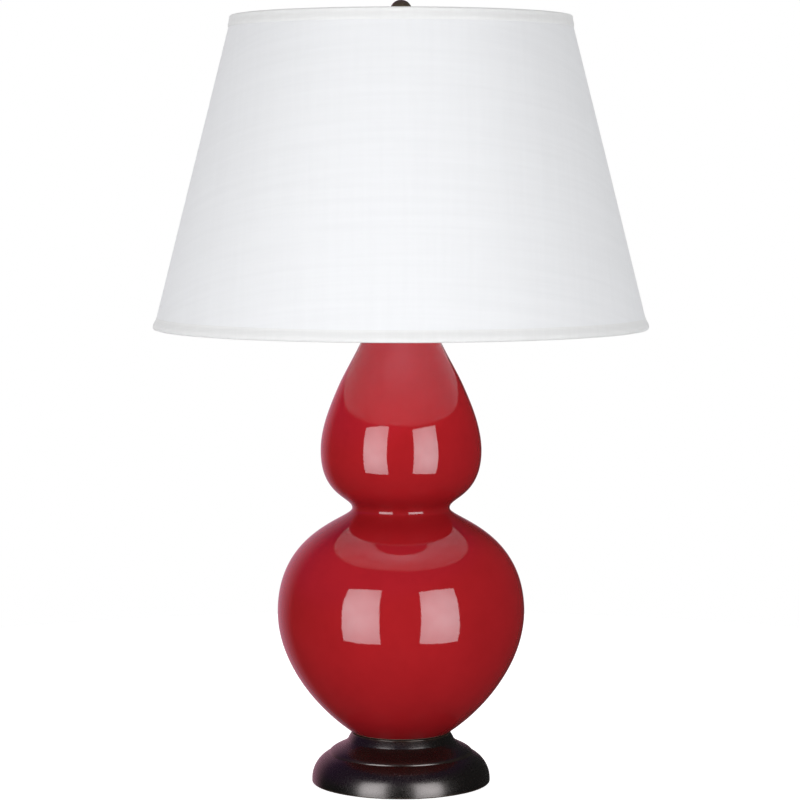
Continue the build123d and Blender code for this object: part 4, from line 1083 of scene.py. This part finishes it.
class LAMP_OT_bulb(bpy.types.Operator):
    """Blow the frosted bulb and finish its cap"""

    bl_idname = "lamp.bulb"
    bl_label = "Bulb"

    def execute(self, context):
        fitting = context.scene.lamp_fittings
        mesh = turned("bulb_envelope", bulb_outline(fitting), 96)
        placed("bulb_envelope", mesh, "bulb", "frosted_glass", frosted_glass(fitting), "bulb_glass")
        dressed(metal("aluminium", fitting.aluminium, 0.22, (1.0, 1.0, 0.1)), "bulb_cap")
        dressed(moulded("black_glass", (0.02, 0.02, 0.024), 0.12), "bulb_insulator")
        dressed(metal("solder", (0.55, 0.55, 0.56), 0.38), "bulb_tip")
        return {"FINISHED"}


class LAMP_OT_brasswork(bpy.types.Operator):
    """Finish harp, socket, spider and rings"""

    bl_idname = "lamp.brasswork"
    bl_label = "Brass fittings"

    def execute(self, context):
        fitting = context.scene.lamp_fittings
        drawn = metal("brass_wire", fitting.brass, 0.24, (1.0, 1.0, 0.08))
        spun = metal("brass_spun", fitting.brass, 0.30, (0.1, 0.1, 1.0))
        dressed(drawn, "harp_wire", "spider_arms", "top_ring", "bottom_ring", "switch_stem")
        dressed(spun, "harp_saddle", "ferrule_left", "ferrule_right", "harp_stud", "spider_hub")
        dressed(spun, "socket_cap", "socket_shell", "terminal_screws", "centre_contact")
        dressed(metal("aluminium_shell", fitting.aluminium, 0.24, (0.1, 0.1, 1.0)), "screw_shell")
        return {"FINISHED"}


class LAMP_OT_small_parts(bpy.types.Operator):
    """Finish the pipe, nuts, weight, cover, felt and mouldings"""

    bl_idname = "lamp.small_parts"
    bl_label = "Small parts"

    def execute(self, context):
        fitting = context.scene.lamp_fittings
        zinc = metal("zinc_plate", fitting.zinc, 0.33, (0.2, 0.2, 1.0), 0.2)
        dressed(zinc, "lamp_pipe", "base_washer", "base_lock_washer", "base_nut")
        dressed(zinc, "socket_locknut", "set_screw")
        dressed(cast_iron(), "base_weight")
        dressed(pressed_fibre("hardboard", (0.055, 0.036, 0.024)), "bottom_cover")
        dressed(pressed_fibre("black_felt", (0.012, 0.012, 0.013), 0.95), "felt_pad")
        dressed(pressed_fibre("fibre_card", (0.62, 0.54, 0.40)), "socket_insulator")
        dressed(moulded("black_nylon", (0.014, 0.014, 0.015), 0.45), "cord_bushing")
        dressed(moulded("rubber", (0.012, 0.012, 0.012), 0.75), "foot_gasket")
        dressed(moulded("phenolic", (0.028, 0.018, 0.013), 0.3), "socket_core")
        dressed(moulded("switch_black", (0.016, 0.014, 0.013), 0.28), "switch_knob")
        return {"FINISHED"}


# ---- stage ---------------------------------------------------------------
def round_floor(stage, radius=1.1):
    """White disc under the lamp: rings of even width about the axis."""
    outline = np.stack([np.linspace(radius, 0.0, 12), np.zeros(12)], axis=1)
    mesh = turned("floor", outline, 96, closed=False)
    floor = added("floor", mesh)
    hidden_from(floor, "glossy", "transmission")
    material, tree, shader = finish("white_floor", [stage.floor_tone] * 3, 0.9)
    seen = node(tree, "ShaderNodeLightPath").outputs["Is Camera Ray"]
    shader.inputs["Emission Color"].default_value = (1.0, 1.0, 1.0, 1.0)
    join(tree, worked(tree, "MULTIPLY", seen, stage.floor_glow), shader, "Emission Strength")
    mesh.materials.append(material)


def panel_glow(name, stage):
    """A softbox's cloth: hot in the middle, and faint once its light has bounced off two glazed faces."""
    material = bpy.data.materials.new(name)
    material.use_nodes = True
    tree = material.node_tree
    tree.nodes.clear()
    depth = node(tree, "ShaderNodeLightPath").outputs["Ray Depth"]
    first = spread(tree, depth, 1.2, 1.8, 1.0, 0.08, "LINEAR")
    centre = node(tree, "ShaderNodeTexCoord").outputs["Object"]
    away = node(tree, "ShaderNodeVectorMath", {0: centre}, operation="LENGTH").outputs["Value"]
    falloff = spread(tree, away, 0.1, 1.0, 1.10, 0.78)
    creases = spread(tree, noise(tree, centre, 2.3, 3.0), 0.3, 0.7, 0.93, 1.06)
    uneven = worked(tree, "MULTIPLY", falloff, creases)
    strength = worked(tree, "MULTIPLY", worked(tree, "MULTIPLY", first, uneven), stage.box_glow)
    glow = node(tree, "ShaderNodeEmission", {"Color": rgba(stage.box_tint), "Strength": strength})
    node(tree, "ShaderNodeOutputMaterial", {"Surface": glow.outputs["Emission"]})
    return material


def unseen_lamp(name, light, place, facing=(0.0, 0.0, 0.0)):
    """Hangs a lamp so that it lights things without showing to the camera or in a reflection."""
    lamp = added(name, light)
    lamp.location = place
    lamp.rotation_euler = facing
    hidden_from(lamp, "camera", "glossy")


def area_lamp(name, place, facing, size, power):
    """A rectangular lamp."""
    light = bpy.data.lights.new(name, "AREA")
    light.shape = "RECTANGLE"
    light.size, light.size_y = size
    light.energy = power
    unseen_lamp(name, light, place, facing)


def softbox(name, stage, around, swing, power):
    """A softbox to one side: a panel that shows in reflections, and a lamp that throws its light."""
    aside, forward = stage.box_distance * math.sin(around), -stage.box_distance * math.cos(around)
    half = np.array([(-1.0, -1.0), (1.0, -1.0), (1.0, 1.0), (-1.0, 1.0)]) / 2
    corners = np.column_stack([half * (stage.box_width, stage.box_height), np.zeros(4)])
    panel_mesh = bpy.data.meshes.new(name)
    panel_mesh.from_pydata(corners.tolist(), [], [(0, 1, 2, 3)])
    panel_mesh.materials.append(panel_glow(name, stage))
    panel = added(name, panel_mesh)
    panel.location = (aside, forward, stage.box_level)
    panel.rotation_euler = (math.pi / 2, 0.0, around - swing)
    hidden_from(panel, "camera", "diffuse", "shadow", "transmission")
    place, size = (aside, forward, stage.lamp_level), (stage.box_width, stage.lamp_height)
    area_lamp(f"{name}_light", place, (math.pi / 2, 0.0, around), size, power)


FILTERED_TINT = (0.90, 0.82, 1.0)
FILTERED_DROP = 0.11      # from the shade's top down to its stand-in lamps
FILTERED_SIZE = 0.05      # how soft they are
FILTERED_FRONT, FILTERED_BACK = -0.09, 0.11      # where they hang in front of the axis and behind it
BOUNCE_PLACE = (0.0, -0.29, 0.01)                # on the table in front of the base
BOUNCE_SIZE = (0.26, 0.14)


def filtered_light(name, power, aside):
    """Stands in for light that comes through the shade's cloth: a soft lamp inside it."""
    light = bpy.data.lights.new(name, "POINT")
    light.energy = power
    light.shadow_soft_size = FILTERED_SIZE
    light.color = FILTERED_TINT
    unseen_lamp(name, light, (0.0, aside, top_of("shade_fabric") - FILTERED_DROP))


def surroundings(stage):
    """White to the camera.  Shiny things see a dark room, a purple ceiling and a pink backdrop; matt
    things see a dim room in front and a white backdrop behind."""
    world = bpy.data.worlds.new("studio")
    bpy.context.scene.world = world
    world.use_nodes = True
    tree = world.node_tree
    tree.nodes.clear()
    path = node(tree, "ShaderNodeLightPath")
    heading = node(tree, "ShaderNodeTexCoord").outputs["Generated"]
    way = node(tree, "ShaderNodeSeparateXYZ", {"Vector": heading})
    behind_left = worked(tree, "MULTIPLY_ADD", way.outputs["X"], -0.40, way.outputs["Y"])
    over_left = worked(tree, "MULTIPLY_ADD", way.outputs["X"], -0.35, way.outputs["Z"])
    room = between(tree, spread(tree, over_left, 0.22, 0.70), stage.dark_room, stage.overhead)
    mirrored = between(tree, spread(tree, behind_left, 0.83, 1.12), room, stage.mirrored_backdrop)
    backdrop = spread(tree, way.outputs["Y"], 0.25, 0.75)
    matt = between(tree, backdrop, [stage.ambient] * 3, [stage.backdrop] * 3)
    seen = worked(tree, "MAXIMUM", path.outputs["Is Glossy Ray"], path.outputs["Is Transmission Ray"])
    glow = between(tree, seen, matt, mirrored)
    shown = between(tree, path.outputs["Is Camera Ray"], glow, (1.0, 1.0, 1.0))
    background = node(tree, "ShaderNodeBackground", {"Color": shown, "Strength": 1.0})
    node(tree, "ShaderNodeOutputWorld", {"Surface": background.outputs["Background"]})


class LAMP_OT_stage(bpy.types.Operator):
    """Set the floor, the softboxes, the surroundings and the camera"""

    bl_idname = "lamp.stage"
    bl_label = "Stage"

    def execute(self, context):
        stage = context.scene.lamp_stage
        round_floor(stage)
        softbox("left_softbox", stage, -stage.left_box, -stage.left_swing, stage.left_power)
        softbox("right_softbox", stage, stage.right_box, stage.right_swing, stage.right_power)
        filtered_light("front_shade_light", stage.front_filtered, FILTERED_FRONT)
        filtered_light("back_shade_light", stage.back_filtered, FILTERED_BACK)
        area_lamp("bounce_light", BOUNCE_PLACE, (math.pi, 0.0, 0.0), BOUNCE_SIZE, stage.bounce)
        surroundings(stage)
        data = bpy.data.cameras.new("camera")
        data.lens = stage.lens
        camera = added("camera", data)
        camera.location = (-stage.camera_aside, -stage.camera_distance, stage.camera_height)
        camera.rotation_euler = (math.pi / 2 - stage.camera_pitch, 0.0, 0.0)
        context.scene.camera = camera
        context.scene.view_settings.view_transform = "Standard"
        return {"FINISHED"}


# ---- panel and registration ----------------------------------------------
OPERATORS = (
    LAMP_OT_body,
    LAMP_OT_base,
    LAMP_OT_lining,
    LAMP_OT_cloth,
    LAMP_OT_trims,
    LAMP_OT_finial,
    LAMP_OT_bulb,
    LAMP_OT_brasswork,
    LAMP_OT_small_parts,
    LAMP_OT_stage,
)
SETTINGS = {
    "gourd": GourdSettings,
    "lamp_base": BaseSettings,
    "lamp_shade": ShadeSettings,
    "lamp_fittings": FittingSettings,
    "lamp_stage": StageSettings,
}


class LAMP_PT_panel(bpy.types.Panel):
    """Sidebar panel with a button for each piece and the sizes that can be changed"""

    bl_idname = "LAMP_PT_panel"
    bl_label = "Double gourd lamp"
    bl_space_type = "VIEW_3D"
    bl_region_type = "UI"
    bl_category = "Gourd lamp"

    def draw(self, context):
        for operator in OPERATORS:
            self.layout.operator(operator.bl_idname)
        for key, group in SETTINGS.items():
            box = self.layout.box()
            box.label(text=group.__doc__.split(":")[0].rstrip("."))
            for name in group.__annotations__:
                box.prop(getattr(context.scene, key), name)


def register():
    for group in SETTINGS.values():
        bpy.utils.register_class(group)
    for key, group in SETTINGS.items():
        setattr(bpy.types.Scene, key, bpy.props.PointerProperty(type=group))
    for operator in (*OPERATORS, LAMP_PT_panel):
        bpy.utils.register_class(operator)


def unregister():
    for operator in reversed((*OPERATORS, LAMP_PT_panel)):
        bpy.utils.unregister_class(operator)
    for key, group in SETTINGS.items():
        delattr(bpy.types.Scene, key)
        bpy.utils.unregister_class(group)


def main():
    """Builds every piece in turn."""
    register()
    for operator in OPERATORS:
        group, name = operator.bl_idname.split(".")
        getattr(getattr(bpy.ops, group), name)()


if __name__ == "__main__":
    main()
